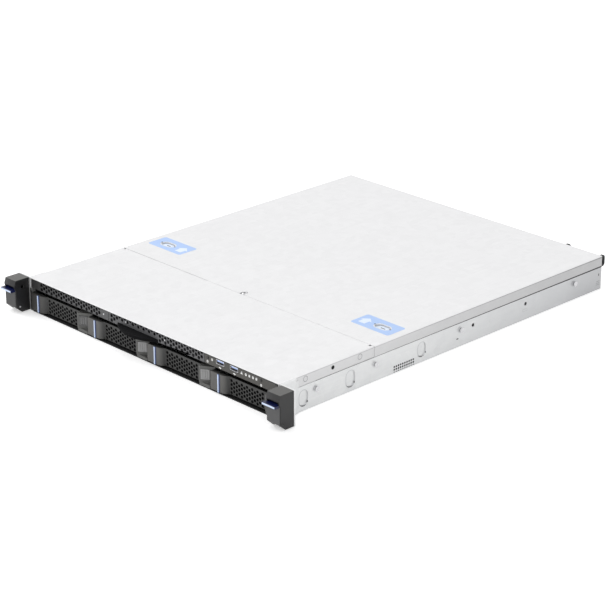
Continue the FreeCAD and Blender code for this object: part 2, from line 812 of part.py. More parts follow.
def usb_sockets():
    """Folded metal shells in the panel's openings."""
    shells = []
    for x in usb_x:
        outer = box(x - usb_width / 2, x + usb_width / 2, usb_front_y, usb_front_y + usb_depth,
                    usb_z - usb_height / 2, usb_z + usb_height / 2)
        inner = box(x - usb_width / 2 + usb_wall, x + usb_width / 2 - usb_wall,
                    usb_front_y - 1, usb_front_y + usb_depth - usb_wall,
                    usb_z - usb_height / 2 + usb_wall, usb_z + usb_height / 2 - usb_wall)
        shells.append(outer.cut(inner))
    return group(shells)


def usb_tongues():
    tongues = []
    for x in usb_x:
        side = usb_width / 2 - usb_wall - usb_tongue_side
        low = usb_z + usb_tongue_low
        tongues.append(box(x - side, x + side, usb_front_y + usb_tongue_back,
                           usb_front_y + usb_depth - usb_wall, low, low + usb_tongue_thick))
    return group(tongues)


def panel_button(x):
    cap = rod(x, strip_front_y - button_cap, front_button_z, front_button_r,
              button_cap + button_stem, Y_AXIS)
    rim = [e for e in cap.Edges if e.Closed and e.CenterOfMass.y < strip_front_y]
    return cap.makeChamfer(button_edge, rim[:1])


def front_lights():
    return group([box(x - light_size / 2, x + light_size / 2, strip_front_y - light_proud, light_length,
                      front_button_z - light_size / 2, front_button_z + light_size / 2)
                  for x in light_x])


def io_board():
    """Small board behind the panel, with its switches, light block and standoffs."""
    x0 = panel_left_x + io_board_side
    x1 = -strip_left_x - io_board_side
    top = usb_z - usb_height / 2
    low = top - io_board_thick
    board = box(x0, x1, io_board_front, io_board_depth, low, top)
    posts = [rod(x, y, cage_top_z, standoff_r, low - cage_top_z, Z_AXIS)
             for x in (x0 + standoff_height, x1 - standoff_height)
             for y in (strip_foot + standoff_height, io_board_depth - standoff_height)]
    y0 = strip_front_y + button_stem + front_button_travel + switch_play
    switches = [box(x - switch_size / 2, x + switch_size / 2, y0, y0 + switch_size, top,
                    front_button_z + switch_size / 2) for x in (id_button_x, power_button_x)]
    lamps = box(light_x[0] - light_size, light_x[-1] + light_size, light_length,
                light_length + switch_size, top, front_button_z + light_size)
    return fuse([board, lamps] + posts + switches)


def pull_tag():
    """Card that slides out over the drive bays; its lip is a flat arc to pinch."""
    x0 = tag_x - tag_width / 2
    x1 = tag_x + tag_width / 2
    points = [V(x0, tag_side_y, tag_low_z), V(tag_x, -tag_reach, tag_low_z), V(x1, tag_side_y, tag_low_z)]
    lip = Part.Arc(points[0], points[1], points[2]).toShape()
    back = Part.makePolygon([points[2], V(x1, tag_shoulder, tag_low_z), V(x0, tag_shoulder, tag_low_z),
                             points[0]])
    head = Part.Face(Part.Wire([lip] + back.Edges)).extrude(V(0, 0, tag_high_z - tag_low_z))
    arc_edges = [e for e in head.Edges if e.CenterOfMass.y < tag_side_y]
    head = head.makeFillet(tag_round, arc_edges)
    z0 = cage_top_z + seat_gap
    tongue = box(x0 + tag_waist, x1 - tag_waist, tag_shoulder - 1, tag_length, z0, z0 + tag_tongue)
    return fuse([head, tongue])


# ---- drive bays ----------------------------------------------------------------------------
def drive_cage():
    """Sheet cage over the bays: a top and five upright dividers that stand on the tray."""
    top = box(-cage_half, cage_half, cage_front_y, backplane_y, cage_top_z - cage_sheet, cage_top_z)
    outer = box(cage_half - bay_divider, cage_half, cage_front_y, backplane_y, sheet, cage_top_z)
    walls = [box(x - bay_divider / 2, x + bay_divider / 2, cage_front_y, backplane_y, sheet, cage_top_z)
             for x in bay_lines[1:-1]]
    return fuse([top] + both_sides([outer]) + walls)


def lever_profile(x0):
    """Plan of the grip block: a flat face, then a bulge that rolls back to the mesh."""
    start = V(x0 + block_flat, block_front_y, 0)
    dx = block_run - block_flat
    dy = mesh_y - block_front_y
    r = (dx * dx + dy * dy) / (2 * dy)
    turn = math.asin(dx / r) / 2
    middle = V(start.x + r * math.sin(turn), start.y + r * (1 - math.cos(turn)), 0)
    end = V(x0 + block_run, mesh_y, 0)
    bulge = Part.Arc(start, middle, end).toShape()
    rest = Part.makePolygon([end, V(x0 + block_run, block_back_y, 0), V(x0 + lever_gap, block_back_y, 0),
                             V(x0 + lever_gap, block_front_y, 0), start])
    return Part.Face(Part.Wire([bulge] + rest.Edges))


def lever_mesh_holes(x0):
    """Staggered holes, four and three to a column."""
    tools = []
    columns = int(lever_hole_room / lever_hole_step) + 1
    for i, x in enumerate(row(x0 + lever_hole_from, lever_hole_step, columns)):
        levels = (-1.5, -0.5, 0.5, 1.5) if i % 2 == 0 else (-1, 0, 1)
        for k in levels:
            ring = corners(x, lever_mid_z + k * lever_hole_pitch, lever_hole_r, 6)
            tools.append(front_prism(ring, mesh_y - 1, mesh_y + mesh_thick + 1))
    return tools


def lever_barrel(x0):
    """Hinge barrel with the web that carries it behind the mesh, and its bore."""
    x = x0 + lever_pivot_x
    low = lug_low_z + lug_height + seat_gap
    high = 2 * lever_mid_z - low
    barrel = rod(x, lever_pivot_y, low, lever_barrel_r, high - low, Z_AXIS)
    web = box(x - lever_barrel_r, x + lever_barrel_r, mesh_y, lever_pivot_y, low, high)
    bore = rod(x, lever_pivot_y, low - 1, lever_pin_r + pin_play, high - low + 2, Z_AXIS)
    return [barrel, web], bore


def lever(x0):
    """Swinging front of a carrier: hollow grip block, perforated plate, ribs and hinge barrel."""
    block = lever_profile(x0).extrude(V(0, 0, block_high_z - block_low_z))
    block.translate(V(0, 0, block_low_z))
    left = x0 + lever_gap + rib_thick
    back = block_front_y + rib_thick
    right = x0 + block_run - rib_thick
    hollow = plan_prism([(left, block_back_y + 1), (left, back), (x0 + block_flat, back),
                         (right, mesh_y + mesh_thick), (right, block_back_y + 1)],
                        block_low_z + rib_thick, block_high_z - rib_thick)
    slot = box(x0 + grip_x - grip_width / 2, x0 + grip_x + grip_width / 2, block_front_y - 1,
               back + 0.1, block_low_z + grip_margin, block_high_z - grip_margin)
    block = cut(block, [hollow, slot])
    mesh_x = x0 + block_run - 0.5
    mesh_back = mesh_y + mesh_thick
    plate = box(mesh_x, x0 + lever_length, mesh_y, mesh_back, lever_low_z, lever_high_z)
    rib_end = x0 + lever_pivot_x - lug_r - 2 * seat_gap
    ribs = [box(mesh_x, rib_end, mesh_y, mesh_back + rib_depth, z, z + rib_thick)
            for z in (lever_low_z, lever_high_z - rib_thick)]
    barrel, bore = lever_barrel(x0)
    return cut(fuse([block, plate] + ribs + barrel), lever_mesh_holes(x0) + [bore])


def lever_grip(x0):
    """Coloured fin pressed into the grip block's front wall."""
    x1 = x0 + grip_x - grip_width / 2
    fin = box(x1, x1 + grip_width, grip_front_y, block_front_y, block_low_z, block_high_z)
    tips = long_edges(fin, Z_AXIS, lambda c: c.y < grip_front_y + 0.01)
    fin = fin.makeFillet(grip_round, tips)
    root = box(x1, x1 + grip_width, block_front_y, grip_front_y + grip_root,
               block_low_z + grip_margin, block_high_z - grip_margin)
    return fuse([fin, root])


def along_slope(x0, along, depth, z):
    """Point on the end block's receding face: along it from its front corner, and into it."""
    angle = math.atan(end_slope)
    x = x0 + end_block_x + end_block_step + along * math.cos(angle) - depth * math.sin(angle)
    y = block_front_y + along * math.sin(angle) + depth * math.cos(angle)
    return V(x, y, z)


def slope_block(x0, a0, a1, d0, d1, z0, z1):
    """Block set square to the receding face."""
    ring = [along_slope(x0, a, d, z0) for a, d in ((a0, d0), (a1, d0), (a1, d1), (a0, d1))]
    return face_of(ring).extrude(V(0, 0, z1 - z0))


def end_block(x0):
    """Fixed right end of the carrier front: a face that recedes, a straight lip and the button well."""
    left = x0 + end_block_x
    right = x0 + end_block_tail
    far = right - left - end_block_step
    outline = [(left, crosspiece_y), (left, block_front_y), (left + end_block_step, block_front_y),
               (right, block_front_y + far * end_slope), (right, crosspiece_y)]
    upper = plan_prism(outline, end_lip_high_z - 0.5, end_high_z)
    lip = box(left, right, end_lip_y, crosspiece_y, carrier_low_z, end_lip_high_z)
    relief = rod(x0 + lever_pivot_x, lever_pivot_y, 0, relief_r, body_height, Z_AXIS)
    well = slope_block(x0, button_from - seat_gap, button_from + button_width + seat_gap,
                       -1, button_depth - button_proud + button_travel + seat_gap,
                       button_low_z - seat_gap, button_high_z + seat_gap)
    return cut(fuse([upper, lip]), [relief, well])


def hinge_lugs(x0):
    """Upper and lower lug on the crosspiece, and the pin between them."""
    x = x0 + lever_pivot_x
    parts = [rod(x, lever_pivot_y, lug_low_z, lever_pin_r, 2 * (lever_mid_z - lug_low_z), Z_AXIS)]
    for z in (lug_low_z, 2 * lever_mid_z - lug_low_z - lug_height):
        parts.append(rod(x, lever_pivot_y, z, lug_r, lug_height, Z_AXIS))
        parts.append(box(x - lug_r, x + lug_r, lever_pivot_y, crosspiece_y + 1, z, z + lug_height))
    return parts


def carrier(x0):
    """Tray of one drive: slotted crosspiece, two braced rails, hinge lugs and the end block."""
    rail = drive_side - tray_rail_inset
    left = x0 + tray_rail_inset
    right = x0 + bay_pitch - tray_rail_inset
    back = drive_front_y + drive_length
    cross_back = crosspiece_y + crosspiece_thick
    cross = box(left, right, crosspiece_y, cross_back, carrier_low_z, tray_high_z)
    slots = [obround_y(x0 + bay_pitch / 2 + (i - air_slots / 2.0) * air_slot_pitch,
                       (carrier_low_z + tray_high_z) / 2, air_slot_width, air_slot_height,
                       crosspiece_y - 1, cross_back + 1) for i in range(air_slots)]
    rails = [box(a, a + rail, crosspiece_y, back, carrier_low_z, tray_rail_high_z)
             for a in (left, right - rail)]
    brace = [(crosspiece_y, tray_rail_high_z - 1), (crosspiece_y + brace_run, tray_rail_high_z - 1),
             (crosspiece_y + brace_run / 2, tray_high_z), (crosspiece_y, tray_high_z)]
    braces = [side_prism(brace, a, a + rail) for a in (left, right - rail)]
    frame = cut(fuse([cross] + rails + braces), slots)
    return fuse([frame, end_block(x0)] + hinge_lugs(x0))


def release_button(x0):
    """Dished push pad in the end block's well."""
    pad = slope_block(x0, button_from, button_from + button_width, -button_proud,
                      button_depth - button_proud, button_low_z, button_high_z)
    middle = along_slope(x0, button_from + button_width / 2, -button_proud - dish_r + dish_deep, 0)
    low = button_low_z + dish_margin
    return pad.cut(rod(middle.x, middle.y, low, dish_r, button_high_z - dish_margin - low, Z_AXIS))


def drive(x0):
    """3.5 inch drive: cast body, raised lid with cut corners, connector notch at the back."""
    left = x0 + drive_side
    right = left + drive_width
    back = drive_front_y + drive_length
    high = drive_low_z + drive_height
    body = box(left, right, drive_front_y, back, drive_low_z, high - lid_step)
    a = left + lid_margin
    b = right - lid_margin
    y0 = drive_front_y + lid_margin
    y1 = back - lid_back
    lid = plan_prism([(a, y0 + lid_corner), (a + lid_corner, y0), (b - lid_corner, y0), (b, y0 + lid_corner),
                      (b, y1 - lid_corner), (b - lid_corner, y1), (a + lid_corner, y1),
                      (a, y1 - lid_corner)], drive_low_z, high)
    notch = box(left + plug_from, left + plug_from + connector_width, back - connector_depth, back + 1,
                drive_low_z - 1, drive_low_z + connector_height)
    return cut(fuse([body, lid]), [notch])


def backplane():
    """Board across the back of the cage, with a connector and an air slot for each bay."""
    back = backplane_y + backplane_thick
    board = box(-cage_half, cage_half, backplane_y, back, sheet, cage_top_z)
    middle = (sheet + cage_top_z) / 2 + backplane_vent_rise
    plugs = []
    vents = []
    for x0 in bay_lines[:-1]:
        left = x0 + drive_side + plug_from + connector_play
        plugs.append(box(left, left + connector_width - 2 * connector_play,
                         backplane_y - connector_depth, backplane_y,
                         drive_low_z, drive_low_z + connector_height - connector_play))
        vents.append(obround_y(x0 + bay_pitch / 2, middle, backplane_vent, backplane_vent_height,
                               backplane_y - 1, back + 1))
    return cut(fuse([board] + plugs), vents)


# ---- fans ----------------------------------------------------------------------------------
def fan_housing(x):
    """Square frame with a round bore, a motor seat on three struts and the shaft."""
    bore_r = fan_size / 2 - fan_rim
    back = fan_y + fan_depth
    frame = box(x - fan_size / 2, x + fan_size / 2, fan_y, back, sheet, sheet + fan_size)
    frame = frame.cut(rod(x, fan_y - 1, fan_z, bore_r, fan_depth + 2, Y_AXIS))
    seat = rod(x, back - strut_depth, fan_z, fan_hub_r, strut_depth, Y_AXIS)
    struts = []
    for angle in (30, 150, 270):
        strut = box(fan_hub_r - 1, bore_r + fan_rim / 2, back - strut_depth, back,
                    -strut_width / 2, strut_width / 2)
        strut.rotate(V(0, 0, 0), Y_AXIS, angle)
        strut.translate(V(x, 0, fan_z))
        struts.append(strut)
    shaft = rod(x, fan_y + shaft_front, fan_z, fan_shaft_r, fan_depth - shaft_front - 1, Y_AXIS)
    return fuse([frame, seat, shaft] + struts)


def fan_blade(x, angle):
    """Pitched blade from the hub to just short of the bore."""
    tip = fan_size / 2 - fan_rim - fan_tip_gap
    blade = box(-blade_thickness / 2, blade_thickness / 2, -fan_chord / 2, fan_chord / 2,
                fan_hub_r - 1, tip)
    blade.rotate(V(0, 0, 0), Z_AXIS, fan_pitch_angle)
    blade.rotate(V(0, 0, 0), Y_AXIS, angle)
    blade.translate(V(x, fan_y + fan_depth / 2 - 1, fan_z))
    return blade


def fan_rotor(x):
    hub = rod(x, fan_y + hub_front, fan_z, fan_hub_r, fan_depth - hub_front - hub_back, Y_AXIS)
    blades = [fan_blade(x, 360.0 * i / fan_blades) for i in range(fan_blades)]
    bore = rod(x, fan_y + shaft_front - 0.5, fan_z, fan_shaft_r + pin_play, fan_depth, Y_AXIS)
    return cut(fuse([hub] + blades), [bore])


# ---- electronics ---------------------------------------------------------------------------
def module_places():
    return [x for middle in module_x
            for x in row(middle - module_pitch * (module_count - 1) / 2, module_pitch, module_count)]


def module(x, low_z, high_z):
    return box(x - module_thick / 2, x + module_thick / 2, module_y, module_y + module_length, low_z, high_z)


def mainboard():
    """Board on standoffs, with the memory sockets and the blocks under the heatsinks."""
    board = box(board_left_x, board_right_x, board_front_y, board_back_y, board_z, board_top_z)
    wide = board_right_x - board_left_x - 2 * board_post_inset
    deep = board_back_y - board_front_y - 2 * board_post_inset
    posts = [rod(x, y, sheet, standoff_r, standoff_height, Z_AXIS)
             for x in row(board_left_x + board_post_inset, wide / 3, 4)
             for y in row(board_front_y + board_post_inset, deep / 2, 3)]
    sockets = []
    for x in module_places():
        slot = box(x - module_socket / 2, x + module_socket / 2, module_y - module_socket_end,
                   module_y + module_length + module_socket_end, board_top_z - 0.1,
                   board_top_z + module_socket_height)
        sockets.append(slot.cut(module(x, board_top_z, body_height)))
    middle = heatsink_y + heatsink_size / 2
    bases = [box(x - socket_size / 2, x + socket_size / 2, middle - socket_size / 2,
                 middle + socket_size / 2, board_top_z - 0.1, board_top_z + socket_height)
             for x in heatsink_x]
    return fuse([board] + posts + sockets + bases)


def heatsink(x):
    """Finned cooler, air running front to back."""
    left = x - heatsink_size / 2
    back = heatsink_y + heatsink_size
    low = board_top_z + socket_height
    base = box(left, left + heatsink_size, heatsink_y, back, low, low + heatsink_base)
    pitch = (heatsink_size - heatsink_fin) / (heatsink_fins - 1)
    fins = [box(a, a + heatsink_fin, heatsink_y, back, low + heatsink_base, heatsink_high_z)
            for a in row(left, pitch, heatsink_fins)]
    return fuse([base] + fins)


def memory_modules():
    return group([module(x, board_top_z, board_top_z + module_height) for x in module_places()])


def ports():
    """Left side, width and height of each rear socket, from the board's left edge on."""
    places = []
    x = board_left_x + port_from
    for width, height in port_sizes:
        places.append((x, width, height))
        x += width + port_between
    return places


def rear_ports():
    """Network, data and display sockets that look out through the rear wall."""
    shells = []
    for x, width, height in ports():
        high = board_top_z + height
        shell = box(x, x + width, board_back_y - port_depth, body_depth + port_proud, board_top_z, high)
        mouth = box(x + port_wall, x + width - port_wall, body_depth - port_mouth, body_depth + 1,
                    board_top_z + port_wall, high - port_wall)
        shells.append(shell.cut(mouth))
    return group(shells)


# ---- power supplies ------------------------------------------------------------------------
def inlet_contacts(left):
    """Upright contact blades on the floor of the inlet well."""
    x = left + inlet_x + inlet_width / 2
    z = supply_low_z + inlet_low + inlet_height / 2
    return [box(x + dx - contact_width / 2, x + dx + contact_width / 2,
                supply_back_y - inlet_depth - 0.1, supply_back_y - inlet_pin_back,
                z + dz - contact_thick / 2, z + dz + contact_thick / 2) for dx, dz in contact_places]


def supply_grid(left):
    """Wire guard in the fan mouth: a ring and a boss on four spokes."""
    x = left + supply_fan_x
    y0 = supply_back_y - supply_mouth - 0.1
    ring = rod(x, y0, supply_z, supply_fan_ring_r, supply_wire, Y_AXIS)
    ring = ring.cut(rod(x, y0 - 1, supply_z, supply_fan_ring_r - supply_wire, supply_wire + 2, Y_AXIS))
    parts = [ring, rod(x, y0, supply_z, supply_fan_boss_r, supply_mouth, Y_AXIS)]
    for angle in (45, 135, 225, 315):
        spoke = box(0, supply_fan_r + 0.2, y0, y0 + supply_wire, -supply_wire / 2, supply_wire / 2)
        spoke.rotate(V(0, 0, 0), Y_AXIS, angle)
        spoke.translate(V(x, 0, supply_z))
        parts.append(spoke)
    return parts


def handle_loop(x):
    """Bent bar to pull a supply by, standing out from its rear face."""
    y1 = supply_back_y + handle_loop_reach
    bar = handle_loop_bar
    loop = box(x - bar / 2, x + bar / 2, supply_back_y - 0.1, y1, handle_loop_low_z, handle_loop_high_z)
    loop = loop.makeFillet(handle_loop_bend, long_edges(loop, X_AXIS, lambda c: c.y > y1 - 0.1))
    eye = box(x - bar, x + bar, supply_back_y, y1 - bar, handle_loop_low_z + bar, handle_loop_high_z - bar)
    inner = long_edges(eye, X_AXIS, lambda c: c.y > y1 - bar - 0.1)
    return loop.cut(eye.makeFillet(handle_loop_bend / 3, inner))


def supply(left):
    """Slide-in supply: closed case, fan mouth, inlet well and a wire loop to pull it by."""
    right = left + supply_width
    back = supply_back_y
    case = box(left, right, supply_front_y, back, supply_low_z, supply_top_z)
    case = case.makeFillet(supply_edge, long_edges(case, Y_AXIS, lambda c: True))
    inlet = box(left + inlet_x, left + inlet_x + inlet_width, back - inlet_depth, back + 1,
                supply_low_z + inlet_low, supply_low_z + inlet_low + inlet_height)
    mouth = rod(left + supply_fan_x, back - supply_mouth, supply_z, supply_fan_r, supply_mouth + 1, Y_AXIS)
    latch_well = box(left + latch_x - seat_gap, left + latch_x + latch_width + latch_travel + seat_gap,
                     back - latch_deep - seat_gap, back + 1, latch_low_z - seat_gap,
                     latch_low_z + latch_height + seat_gap)
    return fuse([cut(case, [inlet, mouth, latch_well]), handle_loop(right - handle_loop_inset)]
                + inlet_contacts(left) + supply_grid(left))


def supply_latch(left):
    """Thumb tab that is pushed sideways to free the supply."""
    x0 = left + latch_x
    tab = box(x0, x0 + latch_width, supply_back_y - latch_deep, supply_back_y + latch_proud,
              latch_low_z, latch_low_z + latch_height)
    return tab.makeFillet(latch_round, long_edges(tab, Z_AXIS, lambda c: c.y > supply_back_y))


# ---- export --------------------------------------------------------------------------------
def pieces():
    """Every node of the server by name."""
    nodes = {
        "chassis_base": chassis_base(),
        "rear_wall": rear_wall(),
        "rail_studs": rail_studs(),
        "front_cover": front_cover(),
        "rear_cover": rear_cover(),
        "cover_screws": cover_screws(),
        "latch_pins": latch_pins(),
        "grille_left": grille_left(),
        "grille_middle": grille_middle(),
        "io_panel": io_panel(),
        "io_board": io_board(),
        "usb_sockets": usb_sockets(),
        "usb_tongues": usb_tongues(),
        "power_button": panel_button(power_button_x),
        "id_button": panel_button(id_button_x),
        "front_lights": front_lights(),
        "pull_tag": pull_tag(),
        "drive_cage": drive_cage(),
        "backplane": backplane(),
        "mainboard": mainboard(),
        "heatsinks": group([heatsink(x) for x in heatsink_x]),
        "memory_modules": memory_modules(),
        "rear_ports": rear_ports(),
        "fan_housings": group([fan_housing(x) for x in fan_places]),
    }
    for name, maker in (("ear_bracket", ear_bracket), ("ear_handle", ear_handle),
                        ("ear_latch", ear_latch), ("ear_grip", ear_grip)):
        nodes[name + "_right"] = maker()
        nodes[name + "_left"] = mirrored(maker())
    for i, x in enumerate(bay_lines[:-1], 1):
        nodes["carrier_%d" % i] = carrier(x)
        nodes["carrier_lever_%d" % i] = lever(x)
        nodes["lever_grip_%d" % i] = lever_grip(x)
        nodes["release_button_%d" % i] = release_button(x)
        nodes["drive_%d" % i] = drive(x)
    for i, x in enumerate(fan_places, 1):
        nodes["fan_rotor_%d" % i] = fan_rotor(x)
    for side, left in (("left", supply_left_x), ("right", supply_left_x + supply_pitch)):
        nodes["power_supply_" + side] = supply(left)
        nodes["supply_latch_" + side] = supply_latch(left)
    return nodes


def main():
    os.makedirs("parts", exist_ok=True)
    for name, shape in pieces().items():
        shape.translate(V(0, -mid_y, 0))
        shape.exportStep("parts/%s.step" % name)


if __name__ == "__main__":
    main()
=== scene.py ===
import json
import math

import bmesh
import bpy
from mathutils import Matrix, Vector


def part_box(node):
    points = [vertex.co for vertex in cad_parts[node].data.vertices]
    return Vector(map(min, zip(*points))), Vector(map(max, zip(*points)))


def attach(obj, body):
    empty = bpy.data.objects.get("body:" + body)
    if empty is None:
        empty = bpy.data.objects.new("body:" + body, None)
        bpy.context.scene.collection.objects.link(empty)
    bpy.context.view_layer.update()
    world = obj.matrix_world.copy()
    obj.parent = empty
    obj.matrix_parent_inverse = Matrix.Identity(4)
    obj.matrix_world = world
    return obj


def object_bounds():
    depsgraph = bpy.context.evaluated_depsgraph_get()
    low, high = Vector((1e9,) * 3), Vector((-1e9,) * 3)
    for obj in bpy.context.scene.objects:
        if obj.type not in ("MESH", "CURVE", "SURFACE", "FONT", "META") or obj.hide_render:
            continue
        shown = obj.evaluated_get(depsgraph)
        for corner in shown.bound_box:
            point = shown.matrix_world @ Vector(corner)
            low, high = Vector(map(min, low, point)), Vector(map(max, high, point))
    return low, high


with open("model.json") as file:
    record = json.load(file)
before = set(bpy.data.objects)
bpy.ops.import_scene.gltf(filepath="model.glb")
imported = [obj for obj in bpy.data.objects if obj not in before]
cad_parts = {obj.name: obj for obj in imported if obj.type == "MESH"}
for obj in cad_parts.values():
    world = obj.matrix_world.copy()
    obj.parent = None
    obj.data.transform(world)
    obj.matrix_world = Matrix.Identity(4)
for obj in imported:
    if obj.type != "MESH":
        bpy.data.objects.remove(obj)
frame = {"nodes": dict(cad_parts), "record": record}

cadBox = [list(corner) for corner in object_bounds()]
nodes = frame["nodes"]
slotOf = {part["node"]: part["material_slot"] for part in frame["record"]["subparts"]}
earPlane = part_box("chassis_base")[0].y      # the face that meets the rack posts
mm = 0.001


def spot(x, y, z):
    # millimetres from the middle, behind the ear plane and up, as a place in metres
    return Vector((x * mm, earPlane + y * mm, z * mm))


# materials

def toLinear(hexColour):
    channels = [int(hexColour[i:i + 2], 16) / 255 for i in (1, 3, 5)]
    return [c / 12.92 if c <= 0.04045 else ((c + 0.055) / 1.055) ** 2.4 for c in channels] + [1]


def addNode(tree, kind, settings={}, links={}):
    # settings set sockets or the node's own fields, links join other nodes' outputs to its sockets
    node = tree.nodes.new(kind)
    for key, value in settings.items():
        if isinstance(key, int) or key in node.inputs:
            node.inputs[key].default_value = value
        else:
            setattr(node, key, value)
    for key, source in links.items():
        tree.links.new(source, node.inputs[key])
    return node


def startMaterial(name, roughness, metallic=0.0):
    material = bpy.data.materials.new(name)
    material.use_nodes = True
    tree = material.node_tree
    shader = tree.nodes["Principled BSDF"]
    shader.inputs["Roughness"].default_value = roughness
    shader.inputs["Metallic"].default_value = metallic
    place = addNode(tree, "ShaderNodeTexCoord").outputs["Object"]
    return material, tree, shader, place


def paint(tree, shader, tones, share, height, strength):
    # two tones mixed by share, under a relief a tenth of a millimetre deep
    dark, light = [toLinear(tone) for tone in tones]
    colour = addNode(tree, "ShaderNodeMix", {"data_type": "RGBA", 6: dark, 7: light}, {0: share})
    relief = addNode(tree, "ShaderNodeBump", {"Strength": strength, "Distance": 0.0001}, {"Height": height})
    tree.links.new(colour.outputs[2], shader.inputs["Base Color"])
    tree.links.new(relief.outputs["Normal"], shader.inputs["Normal"])


def galvanisedSheet(name, dark, light, spangleMm=9.0):
    # Hot-dip galvanised steel, skin-passed: matt zinc with a faint spangle and fine rolling lines.
    material, tree, shader, place = startMaterial(name, roughness=0.42, metallic=0.75)
    rolled = addNode(tree, "ShaderNodeMapping", {"Scale": (1, 0.025, 1)}, {"Vector": place})
    lines = addNode(tree, "ShaderNodeTexNoise", {"Scale": 1000 / 2.2, "Detail": 3.0},
                    {"Vector": rolled.outputs["Vector"]})       # rolling lines 2 mm apart
    spangle = addNode(tree, "ShaderNodeTexVoronoi", {"Scale": 1000 / spangleMm}, {"Vector": place})
    tone = addNode(tree, "ShaderNodeSeparateColor", {}, {"Color": spangle.outputs["Color"]})
    patch = addNode(tree, "ShaderNodeMath", {"operation": "MULTIPLY", 1: 0.35},
                    {0: tone.outputs["Red"]})                   # a third of the tone is spangle
    blend = addNode(tree, "ShaderNodeMath", {"operation": "MULTIPLY_ADD", 1: 0.65, "use_clamp": True},
                    {0: lines.outputs["Fac"], 2: patch.outputs["Value"]})
    gloss = addNode(tree, "ShaderNodeMapRange", {"To Min": 0.36, "To Max": 0.48},
                    {"Value": tone.outputs["Green"]})
    tree.links.new(gloss.outputs["Result"], shader.inputs["Roughness"])
    paint(tree, shader, (dark, light), blend.outputs["Value"], lines.outputs["Fac"], 0.05)
    return material


def mouldedPlastic(name, dark, light, roughness=0.5, grainMm=0.7, specular=0.5):
    # Moulded ABS/PC with a spark-eroded texture: dull, with a soft broad highlight.
    material, tree, shader, place = startMaterial(name, roughness)
    shader.inputs["IOR"].default_value = 1.53
    shader.inputs["Specular IOR Level"].default_value = specular
    grain = addNode(tree, "ShaderNodeTexNoise", {"Scale": 1000 / grainMm, "Detail": 2.0}, {"Vector": place})
    cloud = addNode(tree, "ShaderNodeTexNoise", {"Scale": 1000 / 30, "Detail": 3.0},
                    {"Vector": place})                          # clouds 30 mm across
    paint(tree, shader, (dark, light), cloud.outputs["Fac"], grain.outputs["Fac"], 0.15)
    return material


def powderCoat(name, dark, light, peelMm=1.6):
    # Polyester powder coat on sheet steel: satin, with a slight orange peel.
    material, tree, shader, place = startMaterial(name, roughness=0.38)
    peel = addNode(tree, "ShaderNodeTexNoise", {"Scale": 1000 / peelMm, "Detail": 1.0}, {"Vector": place})
    paint(tree, shader, (dark, light), peel.outputs["Fac"], peel.outputs["Fac"], 0.2)
    return material


def touchPlastic(name, edge, shadedFlank):
    # Glossy blue plastic of a touch point, with painted light: faces turned to the front take a pale painted
    # highlight, the other faces a navy painted shade.
    material, tree, shader, place = startMaterial(name, roughness=0.3)
    facing = addNode(tree, "ShaderNodeSeparateXYZ", {},
                     {"Vector": addNode(tree, "ShaderNodeTexCoord").outputs["Normal"]})
    # front-facing faces get the painted highlight
    front = addNode(tree, "ShaderNodeMapRange", {"From Min": -0.72, "From Max": -0.8},
                    {"Value": facing.outputs["Y"]})
    swirl = addNode(tree, "ShaderNodeTexNoise", {"Scale": 1000 / 5}, {"Vector": place})     # 5 mm swirls
    paint(tree, shader, (shadedFlank, edge), front.outputs["Result"], swirl.outputs["Fac"], 0.04)
    return material


def ramp(tree, axis, fromMm, toMm):
    # share from 0 to 1 between two marks along an axis
    apart = addNode(tree, "ShaderNodeSeparateXYZ", {},
                    {"Vector": addNode(tree, "ShaderNodeTexCoord").outputs["Object"]})
    start, end = [spot(mark, mark, mark)["XYZ".index(axis)] for mark in (fromMm, toMm)]
    return addNode(tree, "ShaderNodeMapRange", {"From Min": start, "From Max": end},
                   {"Value": apart.outputs[axis]}).outputs["Result"]


def shadeAlong(material, axis, fromMm, toMm, hexColour, within=None):
    # another tone further along the piece: mostly painted shade (darker towards the back, at folds and
    # recesses, and towards the left) and a painted highlight on the ears' tops; also a real second colour,
    # as on the supplies' black handles and the levers' dark plates
    tree = material.node_tree
    shader = tree.nodes["Principled BSDF"]
    share = ramp(tree, axis, fromMm, toMm)
    if within:
        share = addNode(tree, "ShaderNodeMath", {"operation": "MULTIPLY"},
                        {0: share, 1: ramp(tree, *within)}).outputs["Value"]
    colour = addNode(tree, "ShaderNodeMix", {"data_type": "RGBA", 7: toLinear(hexColour)},
                     {0: share, 6: shader.inputs["Base Color"].links[0].from_socket})
    tree.links.new(colour.outputs[2], shader.inputs["Base Color"])
    return material


def circuitBoard(name):
    # Glass-epoxy board under green solder mask: satin, copper tracks showing paler through it.
    material, tree, shader, place = startMaterial(name, roughness=0.32)
    tracks = addNode(tree, "ShaderNodeTexBrick",
                     {"Scale": 1000 / 14, "Mortar Size": 0.03, "Color1": toLinear("#0F4A2C"),
                      "Color2": toLinear("#0C4027"), "Mortar": toLinear("#2C7A50")},
                     {"Vector": place})                         # tracks in bundles 7 mm apart
    tree.links.new(tracks.outputs["Color"], shader.inputs["Base Color"])
    return material


def workedMetal(name, dark, light, roughness, grainMm, stretch=(1, 1, 1)):
    # Bare metal with the marks of how it was made: drawn, cast or plated.
    material, tree, shader, place = startMaterial(name, roughness, metallic=0.9)
    drawn = addNode(tree, "ShaderNodeMapping", {"Scale": stretch}, {"Vector": place})
    grain = addNode(tree, "ShaderNodeTexNoise", {"Scale": 1000 / grainMm, "Detail": 3.0},
                    {"Vector": drawn.outputs["Vector"]})
    paint(tree, shader, (dark, light), grain.outputs["Fac"], grain.outputs["Fac"], 0.1)
    return material


def printedFilm(name, dark, light):
    # Screen-printed polyester film: matt and even, with a faint press mottle.
    return mouldedPlastic(name, dark, light, roughness=0.55, grainMm=1.5)


